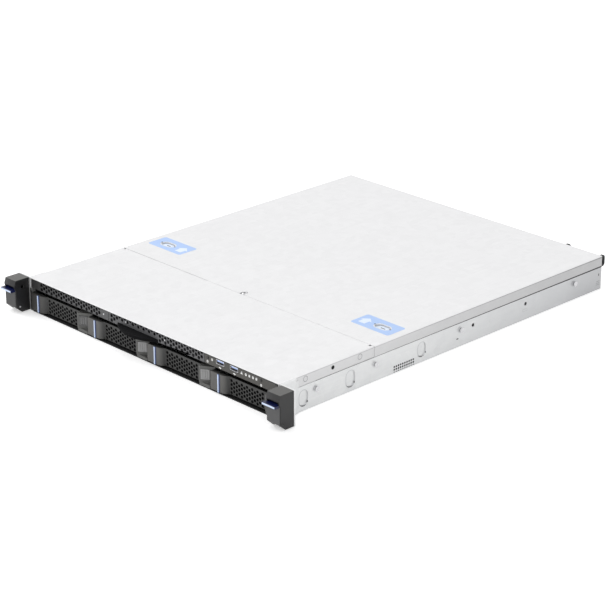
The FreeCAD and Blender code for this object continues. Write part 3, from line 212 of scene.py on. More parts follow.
carrierPlastic = mouldedPlastic("texturedCarrier", "#565654", "#626260", 0.45)
leverPlastic = mouldedPlastic("texturedLever", "#555452", "#62615F", 0.45)
# painted shade: the levers darker towards the left
leverPlastic = shadeAlong(leverPlastic, "X", -110, -216, "#3D3C3B")
# painted shade on the back of each lever's bulge, where it turns away from the light
leverPlastic = shadeAlong(leverPlastic, "Y", -1.4, 1.5, "#363635")      # its bulge, then its back
panelCoat = powderCoat("powderCoatGreige", "#413F3C", "#4B4945")
grilleCoat = powderCoat("powderCoatBlack", "#515153", "#5F5F61")
latchPlastic = mouldedPlastic("texturedLatch", "#484849", "#515152", 0.38)
padPlastic = mouldedPlastic("satinRelease", "#989898", "#A6A6A6", 0.42)
coverSheet = galvanisedSheet("galvanisedCover", "#E4E4E5", "#EDEDEE")
# painted shade: a darker band at the cover's fold and a darker flange below it, as the sides get less light
# than the top
coverSheet = shadeAlong(coverSheet, "Z", 42.9, 42.5, "#BFBFC1")     # its fold, then its flange
coverSheet = shadeAlong(coverSheet, "Z", 42.1, 41.6, "#D8D8D9")
traySheet = galvanisedSheet("galvanisedTray", "#DEDFE0", "#EBECEC")
# painted shade: the tray darker towards the back
traySheet = shadeAlong(traySheet, "Y", 200, 560, "#CBCCCE")
supplySheet = galvanisedSheet("zincCase", "#B4B5B7", "#C8C9CB", spangleMm=5.0)
earPlastic = mouldedPlastic("texturedEar", "#19191A", "#1F1F20", 0.36)
materials = {
    # painted shade: darker again over the last 70 mm to the back
    "zinc_steel": shadeAlong(traySheet, "Y", 480, 552, "#C2C3C5"),
    # painted shade: the flange darker towards the back
    "cover_steel": shadeAlong(coverSheet, "Y", 100, 560, "#C0C0C1", ("Z", 42.1, 41.6)),
    "stud_steel": workedMetal("nickelPlatedStud", "#CECED0", "#ECECEE", 0.14, 3.0),
    "black_screw": workedMetal("blackZincScrew", "#1A1A1C", "#2A2A2C", 0.4, 1.0),
    # painted shade: the grille darker towards the left
    "grille_black": shadeAlong(grilleCoat, "X", -20, -200, "#303031"),
    # painted shadow under the cover's lip, along the top of the strip
    "panel_grey": shadeAlong(panelCoat, "Z", 41.3, 41.9, "#262624"),
    "board_green": circuitBoard("solderMaskGreen"),
    "port_steel": workedMetal("tinPlatedShell", "#D6D6D8", "#ECECEE", 0.28, 2.0),
    "tongue_blue": touchPlastic("nylonTongue", "#BCD0FF", "#14244C"),
    "button_dark": mouldedPlastic("polycarbonateBlack", "#202021", "#2B2B2C", 0.35),
    "light_clear": mouldedPlastic("acrylicLightPipe", "#C9CED6", "#E6EAF0", 0.2),
    "tag_black": mouldedPlastic("polycarbonateTag", "#08080A", "#0C0C0E", 0.8, specular=0.1),
    "cage_black": powderCoat("powderCoatCage", "#19191A", "#222224"),
    "sink_aluminium": workedMetal("extrudedAluminium", "#C2C3C5", "#DADBDD", 0.3, 0.8, (1, 0.03, 1)),
    "memory_black": mouldedPlastic("epoxyMemory", "#141416", "#202024", 0.4),
    "fan_black": mouldedPlastic("glassFilledFan", "#18181A", "#232325", 0.5),
    # painted highlight: the ears' tops lighter than their fronts and sides, as light from above makes them
    "ear_grey": shadeAlong(earPlastic, "Z", 42.5, 42.8, "#4A4A48"),
    # painted shade: the latches darker towards the left
    "latch_grey": shadeAlong(latchPlastic, "X", 0, -225, "#3A3A3B"),
    "touch_blue": touchPlastic("acetalTouchPoint", "#D6E5FF", "#0B1440"),
    # painted shade: near black deeper than 9 mm into the carriers, where the bays are in shade
    "carrier_grey": shadeAlong(carrierPlastic, "Y", 8.8, 9.8, "#161617"),
    "lever_grey": shadeAlong(leverPlastic, "Y", 3.55, 3.8, "#0C0C0D"),
    # painted shade: the release pads darker towards the left
    "button_grey": shadeAlong(padPlastic, "X", -40, -125, "#606060"),
    "drive_aluminium": workedMetal("castDriveCase", "#8C8D90", "#A9AAAD", 0.4, 1.2),
    "supply_steel": shadeAlong(supplySheet, "Y", 552.6, 553, "#2A2A2B"),
}
ownFinish = {
    "lever_grip": touchPlastic("acetalLeverGrip", "#D6E5FF", "#566AA0"),
    "latch_pins": materials["ear_grey"],
}
labelBlue = printedFilm("labelFilmBlue", "#AAC6F3", "#B5CEF6")
# white ink of the arrows, also a painted reflection on the dish floors
whiteInkAndLight = printedFilm("whiteInkAndPaintedLight", "#DCE9FC", "#E8F1FF")
printWhite = printedFilm("screenInkWhite", "#F0F0EE", "#FAFAF8")
ribGrey = mouldedPlastic("satinRib", "#828282", "#8E8E8E", 0.42)
# near black: painted shade and shadow in holes, notches, gaps, under the flanges, round the studs and at the
# dish ends; also a slot in each dish floor, the black rims and insides of the sockets, a dot on the strip
# and dark strips on the tray's front edges
shadowGap = printedFilm("blackMarksAndShadow", "#101011", "#19191A")
# near black: painted shade inside the levers' holes and under their lower lips
holeShadeBlack = mouldedPlastic("paintedHoleShadow", "#050506", "#08080A", 0.9, grainMm=0.4, specular=0.1)
shadeGrey = printedFilm("zincShadeGrey", "#8E8F91", "#9C9D9F")       # painted shade: rings round rivets, louvres, crescents under pressed forms, and the shade of folds
shadePale = printedFilm("zincShadePale", "#BFC0C2", "#C8C9CB")       # painted shade: a light grey line round the edge of each pressed form and of the faint slot
contactGold = workedMetal("goldContact", "#C69A3C", "#E2BC62", 0.25, 1.0)

# the CAD pieces keep their shape and get their finish and a small edge radius in millimetres
edgeRadius = {
    "ear_handle": 0.5, "ear_latch": 0.4, "carrier_lever": 0.2, "carrier_": 0.25, "release_button": 0.3,
    "grille": 0.2, "io_panel": 0.2, "pull_tag": 0.3, "power_supply": 0.2, "supply_latch": 0.3,
    "front_cover": 0.4, "usb_sockets": 0.1, "rear_ports": 0.12, "ear_bracket": 0.25, "rear_wall": 0.15,
}
rounding = {"weld": 0.000002, "flatDegrees": 1, "sharpDegrees": 35, "segments": 2}


def roundEdges(piece, radius):
    weld = piece.modifiers.new("weld", "WELD")
    weld.merge_threshold = rounding["weld"]
    flat = piece.modifiers.new("flat", "DECIMATE")
    flat.decimate_type = "DISSOLVE"
    flat.angle_limit = math.radians(rounding["flatDegrees"])
    bevel = piece.modifiers.new("edges", "BEVEL")
    bevel.width = radius * mm
    bevel.segments = rounding["segments"]
    bevel.limit_method = "ANGLE"
    bevel.angle_limit = math.radians(rounding["sharpDegrees"])
    bevel.use_clamp_overlap = False


def forName(table, name, otherwise):
    # value of the first key that the name starts with
    return next((table[start] for start in table if name.startswith(start)), otherwise)


for name, piece in nodes.items():
    piece.data.materials.clear()
    piece.data.materials.append(forName(ownFinish, name, materials[slotOf[name]]))
    radius = forName(edgeRadius, name, 0)
    if radius:
        roundEdges(piece, radius)
print("finished", len(nodes), "CAD pieces")


# small pieces

def finishPiece(name, mesh, material, body, smooth=True):
    piece = bpy.data.objects.new(name, mesh)
    bpy.context.scene.collection.objects.link(piece)
    piece.data.materials.append(material)
    for face in mesh.polygons:
        face.use_smooth = smooth
    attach(piece, body)


def roundedLoop(middle, width, height, corner, perCorner=6):
    # corner points of a rounded rectangle, going round once
    points = []
    for turn, (sx, sy) in enumerate(((1, 1), (-1, 1), (-1, -1), (1, -1))):
        for step in range(perCorner + 1):
            angle = math.pi / 2 * (turn + step / perCorner)
            points.append((middle[0] + sx * (width / 2 - corner) + corner * math.cos(angle),
                           middle[1] + sy * (height / 2 - corner) + corner * math.sin(angle)))
    return points


def cutSheet(loops, thickness):
    # thin plate in millimetres from closed loops, the later ones cut out of the first
    curve = bpy.data.curves.new("cut", "CURVE")
    curve.dimensions = "2D"
    curve.fill_mode = "BOTH"
    curve.extrude = thickness / 2
    for loop in loops:
        line = curve.splines.new("POLY")
        line.points.add(len(loop) - 1)
        line.use_cyclic_u = True
        for point, (x, y) in zip(line.points, loop):
            point.co = (x, y, 0, 1)
    holder = bpy.data.objects.new("cut", curve)
    bpy.context.scene.collection.objects.link(holder)
    bpy.context.view_layer.update()
    mesh = bpy.data.meshes.new_from_object(holder.evaluated_get(bpy.context.evaluated_depsgraph_get()))
    bpy.data.objects.remove(holder)
    tidy = bmesh.new()
    tidy.from_mesh(mesh)
    bmesh.ops.remove_doubles(tidy, verts=tidy.verts, dist=0.0001)
    bmesh.ops.recalc_face_normals(tidy, faces=tidy.faces)
    tidy.to_mesh(mesh)
    tidy.free()
    return mesh


turns = {"top": Matrix.Identity(4)}
for facing, degrees in (("front", 0), ("right", 90), ("back", 180), ("left", -90)):
    turns[facing] = Matrix.Rotation(math.radians(degrees), 4, "Z") @ Matrix.Rotation(math.pi / 2, 4, "X")


def layOn(mesh, facing, x, y, z):
    # a flat or turned form in millimetres, set on the face that looks that way
    mesh.transform(Matrix.Translation(spot(x, y, z)) @ turns[facing] @ Matrix.Scale(mm, 4))
    return mesh


def turned(profile, steps=24):
    # a small turned form in millimetres, from (radius, height) points spun round its own axis
    form = bmesh.new()
    verts = [form.verts.new((radius, 0, height)) for radius, height in profile]
    edges = [form.edges.new(pair) for pair in zip(verts, verts[1:])]
    bmesh.ops.spin(form, geom=verts + edges, cent=(0, 0, 0), axis=(0, 0, 1), angle=math.tau,
                   steps=steps, use_merge=True)
    bmesh.ops.remove_doubles(form, verts=form.verts, dist=0.0005)
    bmesh.ops.recalc_face_normals(form, faces=form.faces)
    mesh = bpy.data.meshes.new("turned")
    form.to_mesh(mesh)
    form.free()
    return mesh


def joinMeshes(meshes):
    form = bmesh.new()
    for mesh in meshes:
        form.from_mesh(mesh)
    joined = bpy.data.meshes.new("joined")
    form.to_mesh(joined)
    form.free()
    return joined


nearlyRound = 0.01      # kept off a full half circle, so that no two points of a loop meet
markThickness = 0.08    # of a shade, a line or a small hole laid on a face


def roundEnds(middle, length, width):
    # loop of a slot or a disc with round ends
    return roundedLoop(middle, length, width, width / 2 - nearlyRound)


def flatSpot(length, height, corner, rim=0.0, thickness=markThickness):
    # flat rounded mark, or a ring when the width of its rim is given
    loops = [roundedLoop((0, 0), length, height, corner, 5)]
    if rim:
        loops.append(roundedLoop((0, 0), length - 2 * rim, height - 2 * rim, max(corner - rim, 0.1), 5))
    return cutSheet(loops, thickness)


def roundSpot(size, rim=0.0):
    # disc, or a ring likewise
    return flatSpot(size, size, size / 2 - nearlyRound, rim)


# labels round the two finger dishes of the rear cover, with painted light and shade in the dishes

labels = {
    "width": 60, "depth": 30, "corner": 3, "middleY": 193.4, "middleX": (-179.2, 178.6), "film": 0.12,
    "dishX": 186.5, "dishY": 193.0, "dishLength": 24, "dishWidth": 14, "dishDepth": 2.2,
    "litFloorLength": 20.5, "litFloorWidth": 10.5, "innerSheet": 0.1,
    "slotLength": 7, "slotWidth": 1.3, "slotBehind": 0.6, "endShadeDot": 2.2, "ink": 0.06,
    "arrowX": 160.0, "arrowSize": 17, "arrowStem": 0.6, "arrowTip": 0.85,
}


def makeLabels():
    films, arrows, innerSheets, slotAndEndShades = [], [], [], []
    film, innerSheet, ink = labels["film"], labels["innerSheet"], labels["ink"]
    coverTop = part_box("rear_cover")[1].z / mm
    filmTop = coverTop + film
    dishFloor = coverTop - labels["dishDepth"]
    half = labels["arrowSize"] / 2
    stem, tip = half * labels["arrowStem"], half * labels["arrowTip"]
    for side, x in zip((-1, 1), labels["middleX"]):
        dishX = side * labels["dishX"]
        outline = roundedLoop((x, 0), labels["width"], labels["depth"], labels["corner"])
        opening = roundEnds((dishX, labels["dishY"] - labels["middleY"]), labels["dishLength"],
                            labels["dishWidth"])
        films.append(layOn(cutSheet([outline, opening], film), "top",
                           0, labels["middleY"], filmTop - film / 2))
        # painted reflection: a white sheet on each dish floor, for the white the hollow reflects
        floor = roundEnds((dishX, 0), labels["litFloorLength"], labels["litFloorWidth"])
        innerSheets.append(layOn(cutSheet([floor], innerSheet), "top", 0, labels["dishY"], dishFloor + innerSheet / 2))
        slot = roundEnds((dishX, labels["slotBehind"]), labels["slotLength"], labels["slotWidth"])
        slotAndEndShades.append(layOn(cutSheet([slot], ink), "top", 0, labels["dishY"], dishFloor + innerSheet + ink / 2))
        # painted shade: a dark dot at each end of the dish, where its end walls are in shade
        for end in (-1, 1):
            dot = roundEnds((dishX + end * labels["dishLength"] / 2, 0), labels["endShadeDot"], labels["endShadeDot"])
            slotAndEndShades.append(layOn(cutSheet([dot], ink), "top", 0, labels["dishY"], filmTop + ink / 2))
        x = side * labels["arrowX"]
        arrow = [(x - stem, -half), (x + stem, -half), (x + stem, 0), (x + half, 0), (x, tip), (x - half, 0),
                 (x - stem, 0)]
        arrows.append(layOn(cutSheet([arrow], ink), "top", 0, labels["middleY"], filmTop + ink / 2))
    finishPiece("coverLabels", joinMeshes(films), labelBlue, "rear_cover", smooth=False)
    finishPiece("labelArrows", joinMeshes(arrows), whiteInkAndLight, "rear_cover", smooth=False)
    finishPiece("dishFloorLight", joinMeshes(innerSheets), whiteInkAndLight, "rear_cover", smooth=False)
    finishPiece("dishSlotAndEndShades", joinMeshes(slotAndEndShades), shadowGap, "rear_cover", smooth=False)


makeLabels()
print("labels done")

# bright cap of the seam screw

screwCap = {
    "y": 151.0, "headZ": 42.2,
    "form": ((1.4, 0.8), (1.4, 1.26), (2.85, 1.26), (3.26, 0.85), (3.26, 0.1), (3.1, 0.1), (3.1, 0.8),
             (1.4, 0.8)),
}
cap = layOn(turned(screwCap["form"], 32), "top", 0, screwCap["y"], screwCap["headZ"])
finishPiece("seamScrewCap", cap, materials["stud_steel"], "chassis", smooth=False)
print("screw cap done")

# pale strip low in the seam of the covers, so that the line thins out towards the right

seamFill = {
    "y": 146.0, "width": 0.3, "corner": 0.05, "thickness": 0.6, "topZ": 43.1,
    "spans": ((-60.0, -4.4), (4.4, 211.0)), "flangeX": 218.6, "lowZ": 30.8, "highZ": 42.5,
}


def makeSeamFill():
    def strip(length, width):
        return cutSheet([roundedLoop((0, 0), length, width, seamFill["corner"], 2)], seamFill["thickness"])

    strips = []
    for fromX, toX in seamFill["spans"]:
        strips.append(layOn(strip(toX - fromX, seamFill["width"]), "top",
                            (fromX + toX) / 2, seamFill["y"], seamFill["topZ"]))
    low, high = seamFill["lowZ"], seamFill["highZ"]
    strips.append(layOn(strip(seamFill["width"], high - low), "right",
                        seamFill["flangeX"], seamFill["y"], (low + high) / 2))
    finishPiece("seamFill", joinMeshes(strips), materials["cover_steel"], "chassis", smooth=False)


makeSeamFill()
print("seam done")

# pressed dimples and rivets of the sides, with painted shade as lines, round rivets, forms, studs and
# louvres, and in notches and small holes

sideMarks = {
    "faceX": 219.0, "lift": 0.03,
    "rivets": ((38.6, 37.6), (123.0, 38.0)), "rivetRing": 7.0, "rivetRim": 1.1,
    "coverDimples": ((166.0, 37.6), (520.0, 37.6)),
    "trayDimples": ((248.4, 12.4), (341.0, 18.0)),
    "forms": ((35.4, 15.6, 13.0, 19.0), (108.0, 16.0, 14.0, 20.0), (224.0, 16.4, 13.0, 18.0)),
    "formEdge": {"wider": 1.0, "corner": 0.4, "rim": 0.7},
    "formShade": {"from": 198, "to": 312, "steps": 16, "out": 0.4, "thin": 0.02, "deep": 0.95},
    "notches": ((41.3, 10.0, 1.5, 2.2), (114.2, 10.1, 1.5, 2.2), (230.4, 11.2, 1.5, 2.2),
                (285.4, 11.0, 3.4, 1.4), (547.0, 20.0, 1.4, 3.0)), "notchCorner": 0.5,
    "louvres": {"y": 546.0, "z": (7.0, 9.2, 11.4), "length": 7.0, "height": 0.7, "corner": 0.3},
    "faintSlot": {"y": 406.0, "z": 12.8, "length": 9.0, "height": 3.2, "rim": 0.4},
    "vents": {"y": 179.0, "pitch": 3.5, "count": 10, "z": 1.9, "length": 2.2, "height": 0.8, "corner": 0.35,
              "rows": (4.8, 8.2), "floor": 2.8, "depth": 0.3},
    "flangeSeams": (((54.0, 0.3), (146.0, 0.3)),
                    ((147.2, 0.4), (220.0, 0.5), (340.0, 0.9), (450.0, 1.2), (551.6, 1.6))),
    "flangeSeamZ": 30.45,
    "foldShade": ((200.0, 0.2), (340.0, 0.5), (450.0, 0.6), (551.6, 1.15)), "foldShadeZ": 42.45,
    "studs": ((55.0, 21.0), (148.0, 21.2), (291.0, 21.0), (499.0, 21.2)),
    "studFoot": 0.65, "studShade": 5.5, "studRim": 0.7,
    "seamLine": {"y": 10.5, "z": 42.5, "length": 21.0, "height": 0.8, "corner": 0.2},
    "edgeDarkStrip": {"x": 218.4, "y": -0.05, "z": 15.2, "width": 1.8, "height": 29.0, "corner": 0.2,
                 "thickness": 0.5},
    "floorDarkStrip": {"width": 430.4, "y": 2.7, "z": 1.03, "depth": 5.6, "corner": 0.1,
                  "edgeY": -0.05, "edgeZ": 0.5, "edgeHeight": 0.96},
}
rivetForm = ((0, 0.15), (1.3, 0.15), (1.6, 0.35), (2.3, 0.35), (2.8, 0.12), (3.0, -0.05))
dimpleForm = ((0, 0.3), (1.0, 0.26), (1.8, 0.14), (2.4, -0.05))


def edgeShade(spans, side):
    # tapered line from (distance, width) points, straight along its upper edge
    upper = [(side * y, 0) for y, width in spans]
    lower = [(side * y, -width) for y, width in spans]
    return cutSheet([upper + lower[::-1]], markThickness)


def formShade(length, height):
    # crescent along the lower end of a pressed form
    shade = sideMarks["formShade"]
    radius = length / 2 + shade["out"]
    outer, inner = [], []
    for i in range(shade["steps"] + 1):
        part = i / shade["steps"]
        angle = math.radians(shade["from"] + (shade["to"] - shade["from"]) * part)
        y, z = radius * math.cos(angle), radius * math.sin(angle) + (length - height) / 2
        outer.append((y, z))
        inner.append((y, z + shade["thin"] + shade["deep"] * math.sin(math.pi * part)))
    return cutSheet([outer + inner[::-1]], markThickness)


def makeSideMarks():
    rivets, coverDimples, trayDimples, rings, dark, pale, folds = [], [], [], [], [], [], []
    edge, slot, louvres, vents = [sideMarks[key] for key in ("formEdge", "faintSlot", "louvres", "vents")]
    line, sideDarkStrip, floorDarkStrip = [sideMarks[key] for key in ("seamLine", "edgeDarkStrip", "floorDarkStrip")]
    for facing, side in (("right", 1), ("left", -1)):
        face = side * sideMarks["faceX"]
        skin = face + side * sideMarks["lift"]
        foot = face + side * sideMarks["studFoot"]
        ventFloor = face - side * vents["depth"]
        for y, z in sideMarks["rivets"]:
            rivets.append(layOn(turned(rivetForm), facing, face, y, z))
            # painted shade: a grey ring round each rivet
            rings.append(layOn(roundSpot(sideMarks["rivetRing"], sideMarks["rivetRim"]), facing, skin, y, z))
        for y, z in sideMarks["coverDimples"]:
            coverDimples.append(layOn(turned(dimpleForm), facing, face, y, z))
        for y, z in sideMarks["trayDimples"]:
            trayDimples.append(layOn(turned(dimpleForm, 16), facing, face, y, z))
        for y, z, length, height in sideMarks["forms"]:
            # painted shade: a light grey line round each pressed form and a dark crescent at its lower end
            ring = flatSpot(length + edge["wider"], height + edge["wider"], length / 2 + edge["corner"],
                            edge["rim"])
            pale.append(layOn(ring, facing, skin, y, z))
            rings.append(layOn(formShade(length, height), facing, skin, y, z))
        # painted shade: a light grey line round the faint slot
        ring = flatSpot(slot["length"], slot["height"], slot["height"] / 2 - nearlyRound, slot["rim"])
        pale.append(layOn(ring, facing, skin, slot["y"], slot["z"]))
        # painted shade: dark marks in the notches
        for y, z, length, height in sideMarks["notches"]:
            dark.append(layOn(flatSpot(length, height, sideMarks["notchCorner"]), facing, skin, y, z))
        # painted shade: a dark ring round the foot of each stud
        for y, z in sideMarks["studs"]:
            dark.append(layOn(roundSpot(sideMarks["studShade"], sideMarks["studRim"]), facing, foot, y, z))
        # painted shade: grey louvres
        for z in louvres["z"]:
            rings.append(layOn(flatSpot(louvres["length"], louvres["height"], louvres["corner"]), facing,
                               skin, louvres["y"], z))
        # painted shade: dark marks for the low vents and dark discs inside the vent holes
        for i in range(vents["count"]):
            y = vents["y"] + i * vents["pitch"]
            dark.append(layOn(flatSpot(vents["length"], vents["height"], vents["corner"]), facing,
                              skin, y, vents["z"]))
            for z in vents["rows"]:
                dark.append(layOn(roundSpot(vents["floor"]), facing, ventFloor, y, z))
        # painted shadow: a dark line under each cover flange, wider towards the back
        for spans in sideMarks["flangeSeams"]:
            dark.append(layOn(edgeShade(spans, side), facing, skin, 0, sideMarks["flangeSeamZ"]))
        folds.append(layOn(edgeShade(sideMarks["foldShade"], side), facing,
                           skin, 0, sideMarks["foldShadeZ"]))
        # painted shadow in the gap between the ear bracket and the cover
        dark.append(layOn(flatSpot(line["length"], line["height"], line["corner"]), facing,
                          skin, line["y"], line["z"]))
        # dark strip down each front edge of the tray
        dark.append(layOn(flatSpot(sideDarkStrip["width"], sideDarkStrip["height"], sideDarkStrip["corner"],
                                   thickness=sideDarkStrip["thickness"]), "front",
                          side * sideDarkStrip["x"], sideDarkStrip["y"], sideDarkStrip["z"]))
    # dark strip along the front of the tray's floor
    dark.append(layOn(flatSpot(floorDarkStrip["width"], floorDarkStrip["depth"], floorDarkStrip["corner"]), "top",
                      0, floorDarkStrip["y"], floorDarkStrip["z"]))
    dark.append(layOn(flatSpot(floorDarkStrip["width"], floorDarkStrip["edgeHeight"], floorDarkStrip["corner"]), "front",
                      0, floorDarkStrip["edgeY"], floorDarkStrip["edgeZ"]))
    finishPiece("frontCoverRivets", joinMeshes(rivets), materials["cover_steel"], "chassis")
    finishPiece("rearCoverDimples", joinMeshes(coverDimples), materials["cover_steel"], "rear_cover")
    finishPiece("trayDimples", joinMeshes(trayDimples), materials["zinc_steel"], "chassis")
    finishPiece("rivetRings", joinMeshes(rings), shadeGrey, "chassis", smooth=False)
    finishPiece("foldShade", joinMeshes(folds), shadeGrey, "rear_cover", smooth=False)
    finishPiece("formEdges", joinMeshes(pale), shadePale, "chassis", smooth=False)
    finishPiece("trayDarkMarks", joinMeshes(dark), shadowGap, "chassis", smooth=False)


makeSideMarks()
print("side marks done")

# bright riveted end of the latch pin, inside the left ear

pinEnd = {"x": -221.0, "y": -15.0, "z": 8.2, "form": ((0, 0.35), (0.6, 0.3), (1.0, 0.12), (1.15, -0.1))}
riveted = layOn(turned(pinEnd["form"], 16), "right", pinEnd["x"], pinEnd["y"], pinEnd["z"])
finishPiece("pinEnd", riveted, materials["port_steel"], "chassis")
print("pin end done")

# near-black sheet behind each lever's holes and a dark strip under them: painted shade inside the holes and
# under the plate's lower lip

holeShade = {
    "fromLeft": 27.6, "toLeft": 87.4, "thickness": 0.2, "y": 4.65, "lowZ": 3.2, "highZ": 22.8, "corner": 0.3,
    "lipY": 3.5, "lipZ": 2.45, "lipHeight": 1.7, "lipCorner": 0.2,
}


bays = range(1, 5)


def bayLeft(bay):
    # left side of a carrier's bay, half a millimetre clear of its lever
    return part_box("carrier_lever_%d" % bay)[0].x / mm - 0.5


def makeHoleShade():
    length, thickness = holeShade["toLeft"] - holeShade["fromLeft"], holeShade["thickness"]
    low, high = holeShade["lowZ"], holeShade["highZ"]
    for bay in bays:
        x = bayLeft(bay) + (holeShade["fromLeft"] + holeShade["toLeft"]) / 2
        sheet = flatSpot(length, high - low, holeShade["corner"], thickness=thickness)
        lip = flatSpot(length, holeShade["lipHeight"], holeShade["lipCorner"], thickness=thickness)
        both = joinMeshes((layOn(sheet, "front", x, holeShade["y"], (low + high) / 2),
                           layOn(lip, "front", x, holeShade["lipY"], holeShade["lipZ"])))
        finishPiece("holeShadow_%d" % bay, both, holeShadeBlack, "lever_%d" % bay, smooth=False)


makeHoleShade()
print("gauze done")

# ribs of the release pads, set square to their receding faces

pads = {
    "slope": math.radians(32.9), "fromLeft": 91.3, "y": -1.6, "z": 15.0, "along": (3.4, 6.15, 8.9),
    "width": 0.7, "height": 8.2, "corner": 0.3, "thickness": 0.3,
}
turns["pad"] = Matrix.Rotation(pads["slope"], 4, "Z") @ turns["front"]


def makePadRibs():
    for bay in bays:
        left = bayLeft(bay) + pads["fromLeft"]
        ribs = []
        for along in pads["along"]:
            rib = flatSpot(pads["width"], pads["height"], pads["corner"], thickness=pads["thickness"])
            ribs.append(layOn(rib, "pad", left + along * math.cos(pads["slope"]),
                              pads["y"] + along * math.sin(pads["slope"]), pads["z"]))
        finishPiece("padRibs_%d" % bay, joinMeshes(ribs), ribGrey, "release_%d" % bay, smooth=False)


makePadRibs()
print("pads done")

# rivets and printed marks of the front strip

stripMarks = {
    "faceY": -0.8, "ink": 0.05,
    "rivets": ((-78.0, 36.7), (-37.5, 38.8), (31.2, 37.2)),
    "sockets": ((124.6, 32.6), (147.9, 32.6)),
    "socketArrow": ((-2.2, -0.4), (1.2, -0.4), (2.2, 0), (1.2, 0.4), (-2.2, 0.4)),
    "socketArms": {"at": ((-0.4, 0.7), (0.3, -0.7)), "length": 1.6, "height": 0.6, "corner": 0.2},
    "buttons": ((103.8, 34.2), (111.3, 38.4), (190.6, 33.1)),
    "buttonRing": {"width": 2.8, "height": 3.2, "corner": 1.3, "rim": 0.7},
    "buttonBar": {"up": 0.6, "width": 0.6, "height": 2.0, "corner": 0.2},
    "warning": {"x": 159.5, "outline": ((-1.9, -1.5), (1.9, -1.5), (0, 1.9)), "up": 0.2, "hole": 1.0},
    "lights": {"x": (166.3, 171.9, 177.7, 183.2), "width": 2.6, "height": 2.9, "corner": 0.5, "up": 0.4,
               "hole": 1.2},
    "lightZ": 37.9, "lightCorner": 0.3,
    "socketRims": {"x": (124.6, 147.4), "z": 38.7, "length": 14.6, "height": 7.0, "corner": 0.8, "rim": 0.7},
    "dot": (213.6, 41.0), "dotForm": ((0, 0.1), (0.9, 0.1), (1.0, 0.0)),
}
blindRivet = ((0, 0.2), (0.4, 0.2), (0.5, 0.35), (0.8, 0.3), (1.0, 0.0))


def makeStripMarks():
    face, thick = stripMarks["faceY"], stripMarks["ink"]
    inkY = face - thick / 2
    rivets = [layOn(turned(blindRivet, 16), "front", x, face, z) for x, z in stripMarks["rivets"]]
    finishPiece("stripRivets", joinMeshes(rivets), materials["sink_aluminium"], "chassis")

    ink = []
    arms, ring, bar = [stripMarks[key] for key in ("socketArms", "buttonRing", "buttonBar")]
    for x, z in stripMarks["sockets"]:      # three-pronged plug mark, drawn as bar and arms
        ink.append(layOn(cutSheet([stripMarks["socketArrow"]], thick), "front", x, inkY, z))
        for right, up in arms["at"]:
            arm = flatSpot(arms["length"], arms["height"], arms["corner"], thickness=thick)
            ink.append(layOn(arm, "front", x + right, inkY, z + up))
    for x, z in stripMarks["buttons"]:
        circle = flatSpot(ring["width"], ring["height"], ring["corner"], ring["rim"], thick)
        ink.append(layOn(circle, "front", x, inkY, z))
        stroke = flatSpot(bar["width"], bar["height"], bar["corner"], thickness=thick)
        ink.append(layOn(stroke, "front", x, inkY, z + bar["up"]))
    warning, lights, corner = stripMarks["warning"], stripMarks["lights"], stripMarks["lightCorner"]
    hole = roundedLoop((0, warning["up"]), warning["hole"], warning["hole"], corner, 3)
    ink.append(layOn(cutSheet([warning["outline"], hole], thick), "front",
                     warning["x"], inkY, stripMarks["lightZ"]))
    for x in lights["x"]:
        outline = roundedLoop((0, 0), lights["width"], lights["height"], lights["corner"], 3)
        hole = roundedLoop((0, lights["up"]), lights["hole"], lights["hole"], corner, 3)
        ink.append(layOn(cutSheet([outline, hole], thick), "front", x, inkY, stripMarks["lightZ"]))
    finishPiece("panelMarks", joinMeshes(ink), printWhite, "chassis", smooth=False)

    rim = stripMarks["socketRims"]
    rims = [layOn(flatSpot(rim["length"], rim["height"], rim["corner"], rim["rim"], thick), "front",
                  x, inkY, rim["z"]) for x in rim["x"]]
    finishPiece("socketRims", joinMeshes(rims), shadowGap, "chassis", smooth=False)
    x, z = stripMarks["dot"]
    dot = layOn(turned(stripMarks["dotForm"], 16), "front", x, face, z)
    finishPiece("panelDot", dot, shadowGap, "chassis")


makeStripMarks()
print("front strip done")

# rear face: inserts of the sockets, rivets of the wall, light of each supply

rear = {
    # width and height of each socket, and how far up its tongues stand
    "sockets": ((15.9, 13.6, ()), (15.9, 13.6, ()), (14.6, 15.6, (0.3, 0.7)), (30.8, 12.6, (0.5,))),
    "between": 5.0, "wall": 1.05,
    "floorY": 541.4, "floorThickness": 0.4, "floorCorner": 0.2,
    "liningY": 545.2, "liningDepth": 7.4, "liningWall": 0.35, "liningCorner": 0.5,
    "contacts": 8, "contactPitch": 1.15, "contactWidth": 0.5, "contactHeight": 0.4, "contactCorner": 0.1,
    "contactY": 547.0, "contactLength": 7.0, "contactDrop": 3.2,
    "tongueY": 545.4, "tongueDepth": 7.6, "tongueHeight": 1.8, "tongueNarrower": 2.4, "tongueCorner": 0.3,
    "rivets": ((-213.6, 38.4), (-213.6, 4.6), (-90.0, 38.4), (10.0, 38.4), (100.6, 38.4), (100.6, 4.6)),
    "wallY": 552.0, "lightX": 17.0, "lightZ": 36.2, "supplyY": 552.4,
}
lightDome = ((0, 0.5), (0.7, 0.42), (1.1, 0.2), (1.25, -0.1))


